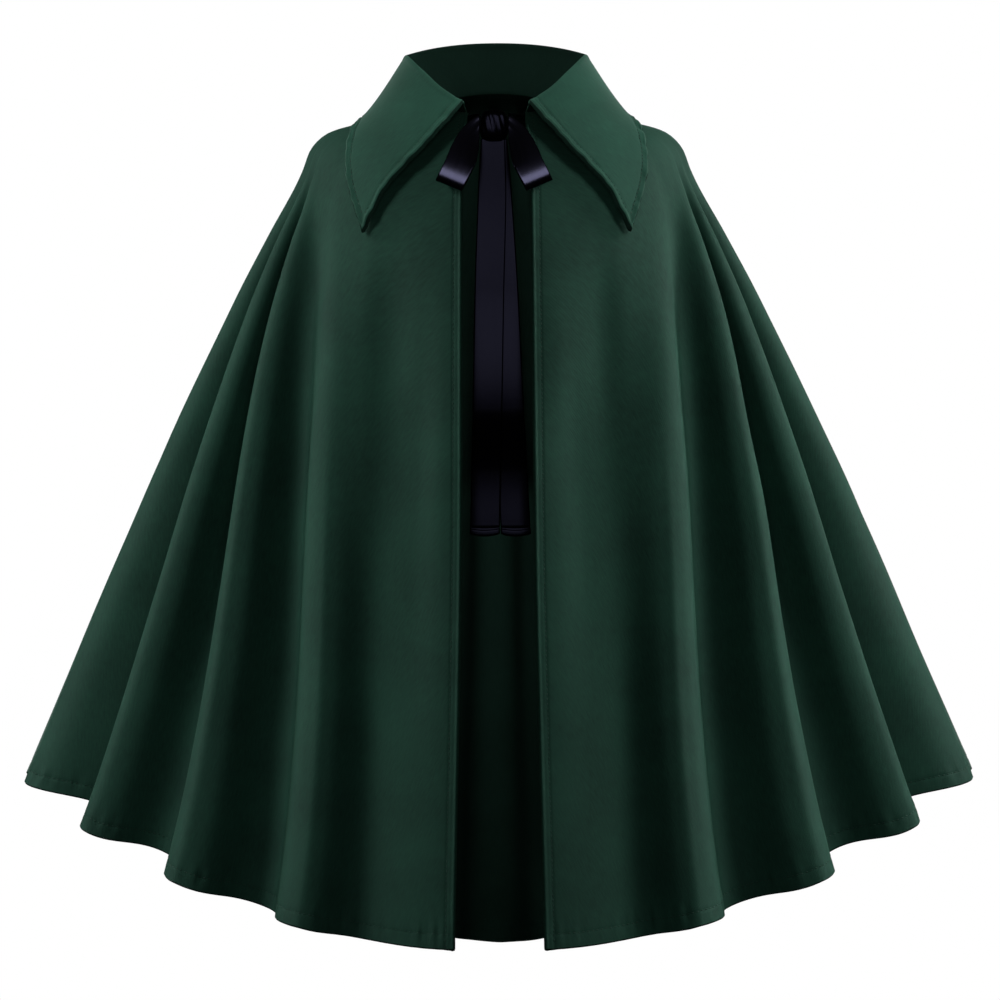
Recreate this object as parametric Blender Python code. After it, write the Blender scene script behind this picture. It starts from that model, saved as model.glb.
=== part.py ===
"""Short cape with a pointed turned-down collar and a ribbon tie, worn open, in metres, +Z up.

The origin is the middle of the neck opening, level with the neck seam over the shoulders. The front
of the cape faces -Y and the wearer's left is +X. The cape is a wide flared cut that hangs from the
shoulders, so its spare width falls in upright folds that deepen towards the hem.
"""

from collections import namedtuple
import math

import bmesh
import bpy
import numpy as np

# Cloth and seams
CAPE_CLOTH = 0.0015
COLLAR_CLOTH = 0.0018
RIBBON_CLOTH = 0.0010
SEAM_GAP = 0.0003

# Front opening, half of its width down the front edge
Opening = namedtuple("Opening", "place share half_gap")
FRONT_OPENING = (
    Opening("neck", 0.00, 0.0250),
    Opening("below the bow", 0.12, 0.0300),
    Opening("middle", 0.50, 0.0310),
    Opening("hem", 1.00, 0.0375),
)

# Outlines of the cape before its folds: distance out from the neck's middle, and height
Outline = namedtuple("Outline", "place out height")
SIDE_OUTLINE = (
    Outline("neck seam", 0.064, 0.000),
    Outline("collar edge", 0.118, -0.017),
    Outline("shoulder", 0.148, -0.026),
    Outline("shoulder bend", 0.164, -0.041),
    Outline("shoulder tip", 0.171, -0.060),
    Outline("upper arm", 0.197, -0.121),
    Outline("elbow", 0.2910, -0.332),
    Outline("hem", 0.3965, -0.587),
)
FRONT_OUTLINE = (
    Outline("neck seam", 0.068, -0.018),
    Outline("collar bone", 0.096, -0.050),
    Outline("chest", 0.124, -0.105),
    Outline("bust", 0.144, -0.175),
    Outline("waist", 0.195, -0.380),
    Outline("hem", 0.290, -0.733),
)
BACK_OUTLINE = (
    Outline("neck seam", 0.058, 0.016),
    Outline("nape", 0.086, 0.000),
    Outline("shoulder blade", 0.122, -0.060),
    Outline("upper back", 0.146, -0.150),
    Outline("waist", 0.217, -0.390),
    Outline("hem", 0.310, -0.752),
)

# How soon the hem, and each level above it, rises from the middle of the front and back to the sides
LIFT_POWER = 1.1
BACK_HEM_LIFT_POWER = 0.75

# Folds, a row for each crest (whole phase), and for a valley (half phase) that lies nearer to one of its
# crests: its direction from the front at the hem and at the shoulders, its depth at the hem, and a power
# over one where the fold only deepens lower down
Fold = namedtuple("Fold", "place phase hem_degrees top_degrees depth growth_power")
FRONT_FOLDS = (
    Fold("front edge", 0.0, 5.4, 8.0, 0.003, 1.0),
    Fold("valley of the front", 0.5, 15.8, 26.0, 0.010, 1.0),
    Fold("chest", 1.0, 23.4, 45.4, 0.024, 2.0),
    Fold("front of the arm", 2.0, 39.8, 65.0, 0.028, 1.0),
    Fold("arm", 3.0, 56.6, 72.0, 0.027, 1.0),
    Fold("valley of the side", 3.5, 64.0, 75.0, 0.026, 1.0),
    Fold("side", 4.0, 76.0, 80.0, 0.025, 1.0),
)
BACK_FOLDS = (
    Fold("behind the left arm", 5.0, 97.0, 97.0, 0.025, 1.0),
    Fold("left shoulder blade", 6.0, 114.0, 113.0, 0.028, 1.0),
    Fold("left back", 7.0, 131.5, 129.0, 0.026, 1.0),
    Fold("left of the spine", 8.0, 148.0, 146.0, 0.029, 1.0),
    Fold("beside the spine", 9.0, 164.0, 163.0, 0.025, 1.0),
    Fold("spine", 10.0, 181.0, 180.0, 0.028, 1.0),
    Fold("right of the spine", 11.0, 197.5, 198.0, 0.026, 1.0),
    Fold("right back", 12.0, 213.0, 215.0, 0.029, 1.0),
    Fold("right shoulder blade", 13.0, 229.5, 231.0, 0.025, 1.0),
    Fold("back of the right arm", 14.0, 246.5, 247.0, 0.027, 1.0),
    Fold("behind the right arm", 15.0, 263.0, 263.0, 0.025, 1.0),
)
LAST_PHASE = 20.0
LEFT_SEAM_PHASE = 4.5
RIGHT_SEAM_PHASE = LAST_PHASE - LEFT_SEAM_PHASE

# How the folds grow from the shoulders down, each level's share of their depth at the hem
Growth = namedtuple("Growth", "place share of_depth")
FOLD_GROWTH = (
    Growth("under the collar", 0.14, 0.0),
    Growth("shoulder tip", 0.19, 0.05),
    Growth("upper arm", 0.27, 0.32),
    Growth("chest", 0.36, 0.55),
    Growth("elbow", 0.55, 0.76),
    Growth("hem", 1.0, 1.0),
)

# How the folds turn to their direction at the hem, and how round their crests and valleys are
FOLD_TURN_START = 0.2
FOLD_TURN_POWER = 2.0
FOLD_BULGE = 0.5
FOLD_STEP = 0.1
COLUMNS_PER_FOLD = 8
CAPE_ROWS = (0.0, 0.04, 0.08, 0.12, 0.16, 0.20, 0.25, 0.31, 0.39, 0.49, 0.60, 0.71, 0.81, 0.91, 1.0)

# Collar, a row for each station from its front end round to the middle of the back: where it leaves
# the neck seam, how far its roll rises and leans out from there, and where its edge lies on the cape
Station = namedtuple("Station", "place neck_degrees rise lean edge_degrees edge_share edge_lift")
COLLAR = (
    Station("front end and point", 24.5, 0.009, 0.008, 39.8, 0.206, 0.0060),
    Station("leaf", 40.0, 0.018, 0.011, 52.0, 0.151, 0.0045),
    Station("front of the neck", 58.0, 0.030, 0.0125, 66.0, 0.109, 0.0035),
    Station("side of the neck", 90.0, 0.043, 0.0150, 90.0, 0.072, 0.0030),
    Station("back of the neck", 135.0, 0.047, 0.017, 133.0, 0.062, 0.0030),
    Station("middle of the back", 180.0, 0.0475, 0.018, 180.0, 0.055, 0.0030),
)
COLLAR_COLUMNS = 18
STAND_ROWS = 4
ROLL_ROWS = 4
FALL_ROWS = 7
ROLL_ARM = 0.006
ROLL_SHARE_OF_STAND = 0.4
FALL_LIFT_POWER = 0.5
COLLAR_SEAM_GAP = 0.0005

# Ribbon tie: the knot, then its loops and tails
KNOT_MIDDLE = (-0.002, -0.083, -0.029)
KNOT_HALF = (0.0125, 0.0065, 0.0142)
KNOT_SQUARENESS = 0.45
KNOT_TURNS = 16
KNOT_LEVELS = 8

# Bow loop, its two edges seen from the front and measured out and up from the knot's middle
LoopEdge = namedtuple("LoopEdge", "start bend end")
LOOP_OUTER_EDGE = LoopEdge((0.0128, 0.0095), (0.0300, 0.0020), (0.0470, -0.0450))
LOOP_INNER_EDGE = LoopEdge((0.0128, -0.0115), (0.0135, -0.0330), (0.0250, -0.0550))
LOOP_ROWS = 4
LOOP_ROOT_OPENING = 0.0013
LOOP_TURN = 0.0050
LOOP_LIFT = 0.0080
LOOP_SETTLE = 0.5
LOOP_FORWARD = 0.0022
LOOP_STEPS = 9
LOOP_TURN_STEPS = 6

# Tails, a row for each level: height, how far each tail's middle is from the knot's, and how far
# the ribbon swings in or out
Tail = namedtuple("Tail", "place height spread half_width swing")
TAIL = (
    Tail("under the knot", -0.0440, 0.0010, 0.0100, 0.0000),
    Tail("bow", -0.0900, 0.0025, 0.0120, -0.0020),
    Tail("chest", -0.1700, 0.0060, 0.0125, -0.0030),
    Tail("crease", -0.2760, 0.0095, 0.0125, -0.0050),
    Tail("below the crease", -0.3300, 0.0115, 0.0125, 0.0010),
    Tail("free end", -0.3850, 0.0135, 0.0125, -0.0010),
)
TAIL_ROWS = 16
TAIL_COLUMNS = 5
TAIL_CURL = 0.0012
TAIL_LAYER = 0.0016

# Short lengths of ribbon from the front corners of the neck to the knot: the shares of the front edge
# that they cover, then where they go into the knot, back from its middle and up
TIE_SHARES = (0.003, 0.024)
TIE_KNOT_BACK = 0.0035
TIE_KNOT_HEIGHTS = (0.008, -0.004)
TIE_STEPS = 6
TIE_ROWS = 4

# Finishes: colour as sRGB, roughness
Finish = namedtuple("Finish", "name srgb roughness")
GREEN_CLOTH = Finish("green_cloth", (0x1C, 0x33, 0x29), 0.72)
COLLAR_GREEN = Finish("collar_cloth", (0x1F, 0x38, 0x2D), 0.70)
BLACK_SATIN = Finish("black_satin", (0x14, 0x12, 0x1A), 0.34)

# One turn in degrees and radians, the small step that finds a slope, and the search down the front
TURN_DEGREES = 360.0
TURN = 2.0 * math.pi
STEP = 1e-3
UPPER_FRONT = 0.4
HALVINGS = 40


def mirrored(fold):
    """The same fold on the wearer's right side."""
    return fold._replace(
        phase=LAST_PHASE - fold.phase,
        hem_degrees=TURN_DEGREES - fold.hem_degrees,
        top_degrees=TURN_DEGREES - fold.top_degrees,
    )


FOLDS = FRONT_FOLDS + BACK_FOLDS + tuple(mirrored(fold) for fold in reversed(FRONT_FOLDS))


def smooth_curve(knots, values, at):
    """A smooth curve through a table's values that never overshoots them, read at the places asked."""
    knots = np.asarray(knots, float)
    values = np.asarray(values, float)
    steps = np.diff(knots)
    slopes = np.diff(values) / steps
    before, after = slopes[:-1], slopes[1:]
    same_way = before * after > 0
    weight = np.where(same_way, before + after, 1.0)
    tangents = np.empty_like(values)
    tangents[1:-1] = np.where(same_way, 2.0 * before * after / weight, 0.0)
    tangents[0], tangents[-1] = slopes[0], slopes[-1]
    at = np.clip(at, knots[0], knots[-1])
    span = np.clip(np.searchsorted(knots, at, side="right") - 1, 0, len(steps) - 1)
    step = steps[span]
    t = (at - knots[span]) / step
    return (
        values[span] * (1 + 2 * t) * (1 - t) ** 2
        + tangents[span] * step * t * (1 - t) ** 2
        + values[span + 1] * t**2 * (3 - 2 * t)
        + tangents[span + 1] * step * t**2 * (t - 1)
    )


def outline_at(outline, share):
    """(out, height) of an outline at a share of its length from the neck to the hem."""
    out = [row.out for row in outline]
    height = [row.height for row in outline]
    chord = np.concatenate([[0.0], np.cumsum(np.hypot(np.diff(out), np.diff(height)))])
    chord /= chord[-1]
    return smooth_curve(chord, out, share), smooth_curve(chord, height, share)


def fold_column(field, phase):
    """One column of the folds' table, read at a phase."""
    return smooth_curve([fold.phase for fold in FOLDS], [getattr(fold, field) for fold in FOLDS], phase)


def fold_turn(share):
    """How much of a fold's turn is still to come: all of it on the shoulders, none at the hem."""
    return np.clip((1.0 - share) / (1.0 - FOLD_TURN_START), 0.0, 1.0) ** FOLD_TURN_POWER


def fold_growth(share):
    """How deep the folds are at a share of the length: none on the shoulders, whole at the hem."""
    return smooth_curve([row.share for row in FOLD_GROWTH], [row.of_depth for row in FOLD_GROWTH], share)


def edge_angle(share):
    """Direction of the front edge, which keeps the opening's width as the cape widens."""
    shares = [row.share for row in FRONT_OPENING]
    half_gap = smooth_curve(shares, [row.half_gap for row in FRONT_OPENING], share)
    return np.degrees(np.arcsin(half_gap / outline_at(SIDE_OUTLINE, share)[0]))


def fold_angle(phase, share):
    """Direction from the front, in degrees, of a fold's crest (whole phase) or valley (half phase)."""
    hem, top = fold_column("hem_degrees", phase), fold_column("top_degrees", phase)
    angle = hem + (top - hem) * fold_turn(share)
    first = FOLDS[0].hem_degrees + (FOLDS[0].top_degrees - FOLDS[0].hem_degrees) * fold_turn(share)
    half = TURN_DEGREES / 2.0
    return half + (angle - half) * (half - edge_angle(share)) / (half - first)


def unfolded_point(degrees, share):
    """A point of the cape with no folds in it."""
    turn = np.radians(degrees)
    side_out, side_height = outline_at(SIDE_OUTLINE, share)
    front_out, front_height = outline_at(FRONT_OUTLINE, share)
    back_out, back_height = outline_at(BACK_OUTLINE, share)
    facing_front = np.cos(turn) > 0
    depth = np.where(facing_front, front_out, back_out)
    height = np.where(facing_front, front_height, back_height)
    power = LIFT_POWER + np.where(facing_front, 0.0, BACK_HEM_LIFT_POWER - LIFT_POWER) * share
    lift = (np.sin(turn) ** 2) ** power
    return np.stack(
        [side_out * np.sin(turn), -depth * np.cos(turn), height + (side_height - height) * lift], axis=-1
    )


def cape_point(phase, share):
    """A point in the middle of the cape's cloth. The phase counts folds round from the left front edge."""
    phase, share = np.broadcast_arrays(np.asarray(phase, float), np.asarray(share, float))
    depth = fold_column("depth", phase) * fold_growth(share) ** fold_column("growth_power", phase)
    step = FOLD_STEP / 2.0
    middle = np.clip(phase, step, LAST_PHASE - step)
    ahead = unfolded_point(fold_angle(middle + step, share), share)
    behind = unfolded_point(fold_angle(middle - step, share), share)
    along = (ahead - behind)[..., :2]
    length = np.linalg.norm(along, axis=-1)
    slant = depth / (length / FOLD_STEP)
    bulge = FOLD_BULGE * slant**2 * np.sin(2.0 * TURN * phase)
    point = unfolded_point(fold_angle(phase + bulge, share), share)
    outward = np.stack([along[..., 1], -along[..., 0]], axis=-1) / length[..., None]
    point[..., :2] += outward * (depth * np.cos(TURN * phase))[..., None]
    return point


def ease(share):
    """A share from 0 to 1 that starts and ends gently."""
    share = np.clip(share, 0.0, 1.0)
    return share**2 * (3.0 - 2.0 * share)


def bent_line(line, share):
    """Points along a line that leaves its start towards its bend and reaches its end from there."""
    t = share[:, None]
    start, bend, end = (np.array(place) for place in line)
    return start * (1 - t) ** 2 + 2 * bend * t * (1 - t) + end * t**2


def unit(vectors):
    """Vectors of length one."""
    return vectors / np.linalg.norm(vectors, axis=-1, keepdims=True)


def grid_normals(points):
    """Unit normals of a grid of points, its rows running down and its columns along."""
    return unit(np.cross(np.gradient(points, axis=0), np.gradient(points, axis=1)))


def cape_grid(first_phase, last_phase, shares):
    """Points, normals and directions along the cloth for a panel between two phases."""
    columns = int(round((last_phase - first_phase) * COLUMNS_PER_FOLD)) + 1
    phase = np.linspace(first_phase, last_phase, columns)[None, :]
    share = np.asarray(shares, float)[:, None]
    low, high = np.clip(phase - STEP, 0.0, LAST_PHASE), np.clip(phase + STEP, 0.0, LAST_PHASE)
    upper, lower = np.clip(share - STEP, 0.0, 1.0), np.clip(share + STEP, 0.0, 1.0)
    along = cape_point(high, share) - cape_point(low, share)
    down = cape_point(phase, lower) - cape_point(phase, upper)
    return cape_point(phase, share), unit(np.cross(down, along)), unit(along)


def wall_mesh(name, points, normals, thickness, finish):
    """A closed wall of cloth on both sides of a grid of middle points."""
    rows, columns = points.shape[:2]
    outer = points + normals * thickness / 2.0
    inner = points - normals * thickness / 2.0
    corners = np.concatenate([outer.reshape(-1, 3), inner.reshape(-1, 3)])
    number = np.arange(rows * columns).reshape(rows, columns)
    under = number + rows * columns
    faces = []
    for i in range(rows - 1):
        for j in range(columns - 1):
            a, b, c, d = number[i, j], number[i + 1, j], number[i + 1, j + 1], number[i, j + 1]
            faces += [(a, b, c), (a, c, d)]
            a, b, c, d = under[i, j], under[i + 1, j], under[i + 1, j + 1], under[i, j + 1]
            faces += [(a, c, b), (a, d, c)]
    around = [*number[:, 0], *number[-1, 1:], *number[-2::-1, -1], *number[0, -2:0:-1]]
    for here, there in zip(around, around[1:] + around[:1]):
        here_under, there_under = here + rows * columns, there + rows * columns
        faces += [(here, there_under, there), (here, here_under, there_under)]
    return closed_object(name, corners, faces, finish)


def closed_object(name, corners, faces, finish):
    """A Blender object from corners and triangles, with its own material, facing out."""
    mesh = bpy.data.meshes.new(name)
    mesh.from_pydata(np.asarray(corners).tolist(), [], np.asarray(faces).tolist())
    shell = bmesh.new()
    shell.from_mesh(mesh)
    bmesh.ops.recalc_face_normals(shell, faces=shell.faces)
    shell.to_mesh(mesh)
    shell.free()
    mesh.materials.append(make_material(f"{name}_{finish.name}", finish))
    thing = bpy.data.objects.new(name, mesh)
    bpy.context.scene.collection.objects.link(thing)
    return thing


def to_linear(channel):
    """One sRGB channel from 0 to 255 as linear light."""
    value = channel / 255.0
    return value / 12.92 if value <= 0.04045 else ((value + 0.055) / 1.055) ** 2.4


def make_material(name, finish):
    """A Principled material with the finish's colour and roughness."""
    material = bpy.data.materials.new(name)
    material.use_nodes = True
    shader = material.node_tree.nodes["Principled BSDF"]
    shader.inputs["Base Color"].default_value = (*[to_linear(channel) for channel in finish.srgb], 1.0)
    shader.inputs["Roughness"].default_value = finish.roughness
    shader.inputs["Metallic"].default_value = 0.0
    return material


def panel(name, first_phase, last_phase, seam_first, seam_last):
    """A cape panel, drawn back from each seam by half of the seam's gap."""
    points, normals, along = cape_grid(first_phase, last_phase, CAPE_ROWS)
    if seam_first:
        points[:, 0] += along[:, 0] * SEAM_GAP / 2.0
    if seam_last:
        points[:, -1] -= along[:, -1] * SEAM_GAP / 2.0
    return wall_mesh(name, points, normals, CAPE_CLOTH, GREEN_CLOTH)


def collar_column(field, places):
    """One column of the collar's table, smoothed along half of the collar and mirrored on the other."""
    half = np.linspace(0.0, 1.0, len(COLLAR))
    return smooth_curve(half, [getattr(row, field) for row in COLLAR], 1.0 - np.abs(1.0 - places))


def mirror_angle(degrees, places):
    """An angle of the left half of the collar, or the same on the right half."""
    return np.where(places > 1.0, TURN_DEGREES - degrees, degrees)


def unfolded_normal(degrees, share):
    """Outward normal of the cape with no folds."""
    along = unfolded_point(degrees + STEP, share) - unfolded_point(degrees - STEP, share)
    upper, lower = np.clip(share - STEP, 0.0, 1.0), np.clip(share + STEP, 0.0, 1.0)
    return unit(np.cross(unfolded_point(degrees, lower) - unfolded_point(degrees, upper), along))


def collar_points():
    """The collar's grid: up the stand, over the roll and down the fall."""
    places = np.linspace(0.0, 2.0, 2 * COLLAR_COLUMNS + 1)
    neck = mirror_angle(collar_column("neck_degrees", places), places)
    edge = mirror_angle(collar_column("edge_degrees", places), places)
    edge_share = collar_column("edge_share", places)
    lift = collar_column("edge_lift", places)
    rim = unfolded_point(neck, np.zeros_like(neck))
    outward = unit(rim * (1.0, 1.0, 0.0))
    down_cape = unit(unfolded_point(neck, np.full_like(neck, STEP)) - rim)
    start = rim - down_cape * (COLLAR_CLOTH / 2.0 + COLLAR_SEAM_GAP)
    start -= unfolded_normal(neck, np.zeros_like(neck)) * CAPE_CLOTH / 2.0
    rise = collar_column("rise", places)[:, None] * (0.0, 0.0, 1.0)
    lean = collar_column("lean", places)[:, None] * outward
    roll = rim + rise + lean

    def fall(share):
        """A line of points at a share of the way from the roll to the edge."""
        degrees = neck + (edge - neck) * share
        cape_share = edge_share * share
        clear = (lift * share**FALL_LIFT_POWER)[:, None]
        on_cape = unfolded_point(degrees, cape_share) + unfolded_normal(degrees, cape_share) * clear
        return on_cape + (rise + lean) * np.broadcast_to(1.0 - share, neck.shape)[:, None]

    stand_length = np.linalg.norm(roll - start, axis=-1)
    before = roll - unit(roll - start) * np.minimum(ROLL_ARM, ROLL_SHARE_OF_STAND * stand_length)[:, None]
    after_share = ROLL_ARM / np.linalg.norm(fall(1.0) - roll, axis=-1)
    after = fall(after_share)
    bend = 2.0 * roll - 0.5 * (before + after)
    lines = [start + (before - start) * step for step in np.linspace(0.0, 1.0, STAND_ROWS + 1)[:-1]]
    for step in np.linspace(0.0, 1.0, ROLL_ROWS + 1)[:-1]:
        lines.append(before * (1 - step) ** 2 + 2 * bend * step * (1 - step) + after * step**2)
    for step in np.linspace(0.0, 1.0, FALL_ROWS + 1):
        lines.append(fall(after_share + (1.0 - after_share) * step))
    return np.stack(lines)


def collar():
    """The collar, one folded wall of cloth."""
    points = collar_points()
    return wall_mesh("collar", points, grid_normals(points), COLLAR_CLOTH, COLLAR_GREEN)


def front_surface(x, z):
    """How far forward the cape's upper front is, where x and z are given (minus is forward)."""
    low, high = np.zeros_like(x), np.full_like(x, UPPER_FRONT)
    for _ in range(HALVINGS):
        share = (low + high) / 2.0
        degrees = np.degrees(np.arcsin(np.clip(x / outline_at(SIDE_OUTLINE, share)[0], -1.0, 1.0)))
        too_high = unfolded_point(degrees, share)[..., 2] > z
        low, high = np.where(too_high, share, low), np.where(too_high, high, share)
    return unfolded_point(degrees, share)[..., 1]


def squared_off(value):
    """A sine or cosine pushed towards one or minus one, which flattens the knot's sides."""
    return np.sign(value) * np.abs(value) ** KNOT_SQUARENESS


def knot():
    """The knot, a pad with rounded corners."""
    turn = TURN * np.arange(KNOT_TURNS)[None, :] / KNOT_TURNS
    level = math.pi * (np.arange(1, KNOT_LEVELS)[:, None] / KNOT_LEVELS - 0.5)
    girth = squared_off(np.cos(level))
    height = np.broadcast_to(squared_off(np.sin(level)), (KNOT_LEVELS - 1, KNOT_TURNS))
    across, forward = girth * squared_off(np.cos(turn)), girth * squared_off(np.sin(turn))
    rings = np.stack([across, forward, height], axis=-1)
    corners = np.concatenate([rings.reshape(-1, 3), [(0.0, 0.0, -1.0), (0.0, 0.0, 1.0)]])
    bottom, top = len(corners) - 2, len(corners) - 1
    last = bottom - KNOT_TURNS
    faces = []
    for here in range(KNOT_TURNS):
        there = (here + 1) % KNOT_TURNS
        faces += [(bottom, there, here), (top, last + here, last + there)]
        for ring in range(0, last, KNOT_TURNS):
            a, b, c, d = ring + here, ring + there, ring + KNOT_TURNS + there, ring + KNOT_TURNS + here
            faces += [(a, b, c), (a, c, d)]
    return closed_object("ribbon_knot", corners * KNOT_HALF + KNOT_MIDDLE, faces, BLACK_SATIN)


def bow_loop(name, side):
    """A bow loop: the ribbon runs out from the knot, turns and comes back behind itself."""
    run = np.linspace(0.0, 1.0, LOOP_STEPS + 1)
    opening = LOOP_ROOT_OPENING + (LOOP_TURN - LOOP_ROOT_OPENING) * ease(run)
    turn = np.linspace(0.0, math.pi, LOOP_TURN_STEPS + 1)[1:-1]
    share = np.concatenate([run, np.ones_like(turn), run[::-1]])
    beyond = np.concatenate([0.0 * run, LOOP_TURN * np.sin(turn), 0.0 * run])
    height = np.concatenate([opening, LOOP_TURN * np.cos(turn), -opening[::-1]])
    outer, inner = bent_line(LOOP_OUTER_EDGE, share), bent_line(LOOP_INNER_EDGE, share)
    across = unit(outer - inner)
    way = np.stack([across[:, 1], -across[:, 0]], axis=-1)
    rows = np.linspace(0.0, 1.0, LOOP_ROWS)[:, None, None]
    flat = outer + (inner - outer) * rows + way * beyond[:, None]
    x = KNOT_MIDDLE[0] + side * flat[..., 0]
    z = KNOT_MIDDLE[2] + flat[..., 1]
    root = KNOT_MIDDLE[1] - LOOP_FORWARD
    lying = front_surface(x, z) - LOOP_LIFT
    y = root + (lying - root) * ease(share / LOOP_SETTLE) - height
    points = np.stack([x, y, z], axis=-1)
    return wall_mesh(name, points, grid_normals(points), RIBBON_CLOTH, BLACK_SATIN)


def ribbon_tail(name, side):
    """A ribbon tail hanging from the knot to its free end, slightly curled across."""
    levels = [-row.height for row in TAIL]
    depth = np.linspace(levels[0], levels[-1], TAIL_ROWS + 1)
    spread, half_width, swing = (
        smooth_curve(levels, [getattr(row, field) for row in TAIL], depth)
        for field in ("spread", "half_width", "swing")
    )
    across = np.linspace(-1.0, 1.0, TAIL_COLUMNS)[None, :]
    x = KNOT_MIDDLE[0] + (side * spread)[:, None] + half_width[:, None] * across
    y = KNOT_MIDDLE[1] + swing[:, None] + side * TAIL_LAYER + TAIL_CURL * across**2
    z = np.broadcast_to(-depth[:, None], x.shape)
    points = np.stack([x, y, z], axis=-1)
    return wall_mesh(name, points, grid_normals(points), RIBBON_CLOTH, BLACK_SATIN)


def neck_tie(name, side):
    """The ribbon from the front corner of the neck to the knot, pinched where it goes in."""
    shares = np.linspace(*TIE_SHARES, TIE_ROWS)
    phase = 0.0 if side > 0 else LAST_PHASE
    inside = cape_point(abs(phase - STEP), shares) - cape_point(phase, shares)
    corner = cape_point(phase, shares) - unit(inside) * SEAM_GAP
    knot_end = np.stack(
        [
            np.full(TIE_ROWS, KNOT_MIDDLE[0] + side * (KNOT_HALF[0] + SEAM_GAP)),
            np.full(TIE_ROWS, KNOT_MIDDLE[1] + TIE_KNOT_BACK),
            KNOT_MIDDLE[2] + np.linspace(*TIE_KNOT_HEIGHTS, TIE_ROWS),
        ],
        axis=-1,
    )
    run = np.linspace(0.0, 1.0, TIE_STEPS + 1)[None, :, None]
    points = corner[:, None] + (knot_end - corner)[:, None] * run
    return wall_mesh(name, points, grid_normals(points), RIBBON_CLOTH, BLACK_SATIN)


def main():
    """Clear the scene and make the cape's pieces under one empty."""
    for thing in list(bpy.data.objects):
        bpy.data.objects.remove(thing, do_unlink=True)
    cape = bpy.data.objects.new("cape", None)
    bpy.context.scene.collection.objects.link(cape)
    pieces = [
        panel("front_panel_left", 0.0, LEFT_SEAM_PHASE, False, True),
        panel("back_panel", LEFT_SEAM_PHASE, RIGHT_SEAM_PHASE, True, True),
        panel("front_panel_right", RIGHT_SEAM_PHASE, LAST_PHASE, True, False),
        collar(),
        knot(),
    ]
    for side, word in ((1, "left"), (-1, "right")):
        pieces += [
            neck_tie(f"neck_tie_{word}", side),
            bow_loop(f"bow_loop_{word}", side),
            ribbon_tail(f"ribbon_tail_{word}", side),
        ]
    for piece in pieces:
        piece.parent = cape


if __name__ == "__main__":
    main()
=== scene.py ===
"""Studio picture of a short green cape with a pointed collar, tied at the neck with a satin ribbon.

Metres, +Z up; the front faces -Y and the wearer's left is +X. Each piece is a thin shell of cloth on
the form of its CAD solid, with its hems, stitching, creases and weave added.
"""

import enum
import logging
import math
from dataclasses import dataclass
from typing import NamedTuple

import bpy
import numpy as np
from mathutils import Euler, Matrix, Vector


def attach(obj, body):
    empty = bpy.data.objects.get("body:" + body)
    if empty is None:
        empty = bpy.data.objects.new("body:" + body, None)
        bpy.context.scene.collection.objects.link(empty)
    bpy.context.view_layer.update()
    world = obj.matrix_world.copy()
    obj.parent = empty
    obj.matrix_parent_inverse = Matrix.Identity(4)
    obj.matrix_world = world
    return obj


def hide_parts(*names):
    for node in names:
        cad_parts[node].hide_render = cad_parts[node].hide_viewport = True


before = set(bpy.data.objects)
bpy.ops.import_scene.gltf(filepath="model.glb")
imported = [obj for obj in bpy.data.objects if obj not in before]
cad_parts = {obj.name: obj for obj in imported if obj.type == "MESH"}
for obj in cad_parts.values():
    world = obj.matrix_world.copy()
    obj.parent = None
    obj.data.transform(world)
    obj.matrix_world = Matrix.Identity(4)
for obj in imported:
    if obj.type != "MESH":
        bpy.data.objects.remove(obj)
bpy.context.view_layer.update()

LOG = logging.getLogger("cape")
TURN = 2.0 * math.pi
FULL_DEGREES = 360.0
MILLIMETRE = 0.001
WAVE_BANDS_PER_UNIT = 20.0 / TURN
CUT_MAP = "cut"
SATIN_PIECE = "_satin"


class Side(enum.Enum):
    """The wearer's two sides."""

    LEFT = 1
    RIGHT = -1

    @property
    def word(self) -> str:
        """The side's name in the names of the pieces."""
        return self.name.lower()


def to_linear(colour: str) -> tuple[float, float, float, float]:
    """Turn an sRGB hex colour to linear light.

    Args:
        colour: six hex digits after a hash.

    Returns:
        Red, green, blue and a whole alpha.
    """
    channels = [int(colour[place : place + 2], 16) / 255.0 for place in (1, 3, 5)]
    light = [c / 12.92 if c <= 0.04045 else ((c + 0.055) / 1.055) ** 2.4 for c in channels]
    return (*light, 1.0)


def add_node(
    tree: bpy.types.NodeTree,
    kind: str,
    settings: dict[str | int, object],
    links: dict[str | int, bpy.types.NodeSocket],
) -> bpy.types.Node:
    """Add one node with its settings and links.

    Args:
        tree: the tree that gets the node.
        kind: Blender's name of the node's type.
        settings: values by the name or number of an input socket, or else by a property's name.
        links: sockets that feed the node's inputs, by the input's name or number.

    Returns:
        The new node.
    """
    node = tree.nodes.new(kind)
    for name, value in settings.items():
        if isinstance(name, int) or name in node.inputs:
            node.inputs[name].default_value = value
        else:
            setattr(node, name, value)
    for name, source in links.items():
        tree.links.new(source, node.inputs[name])
    return node


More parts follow.
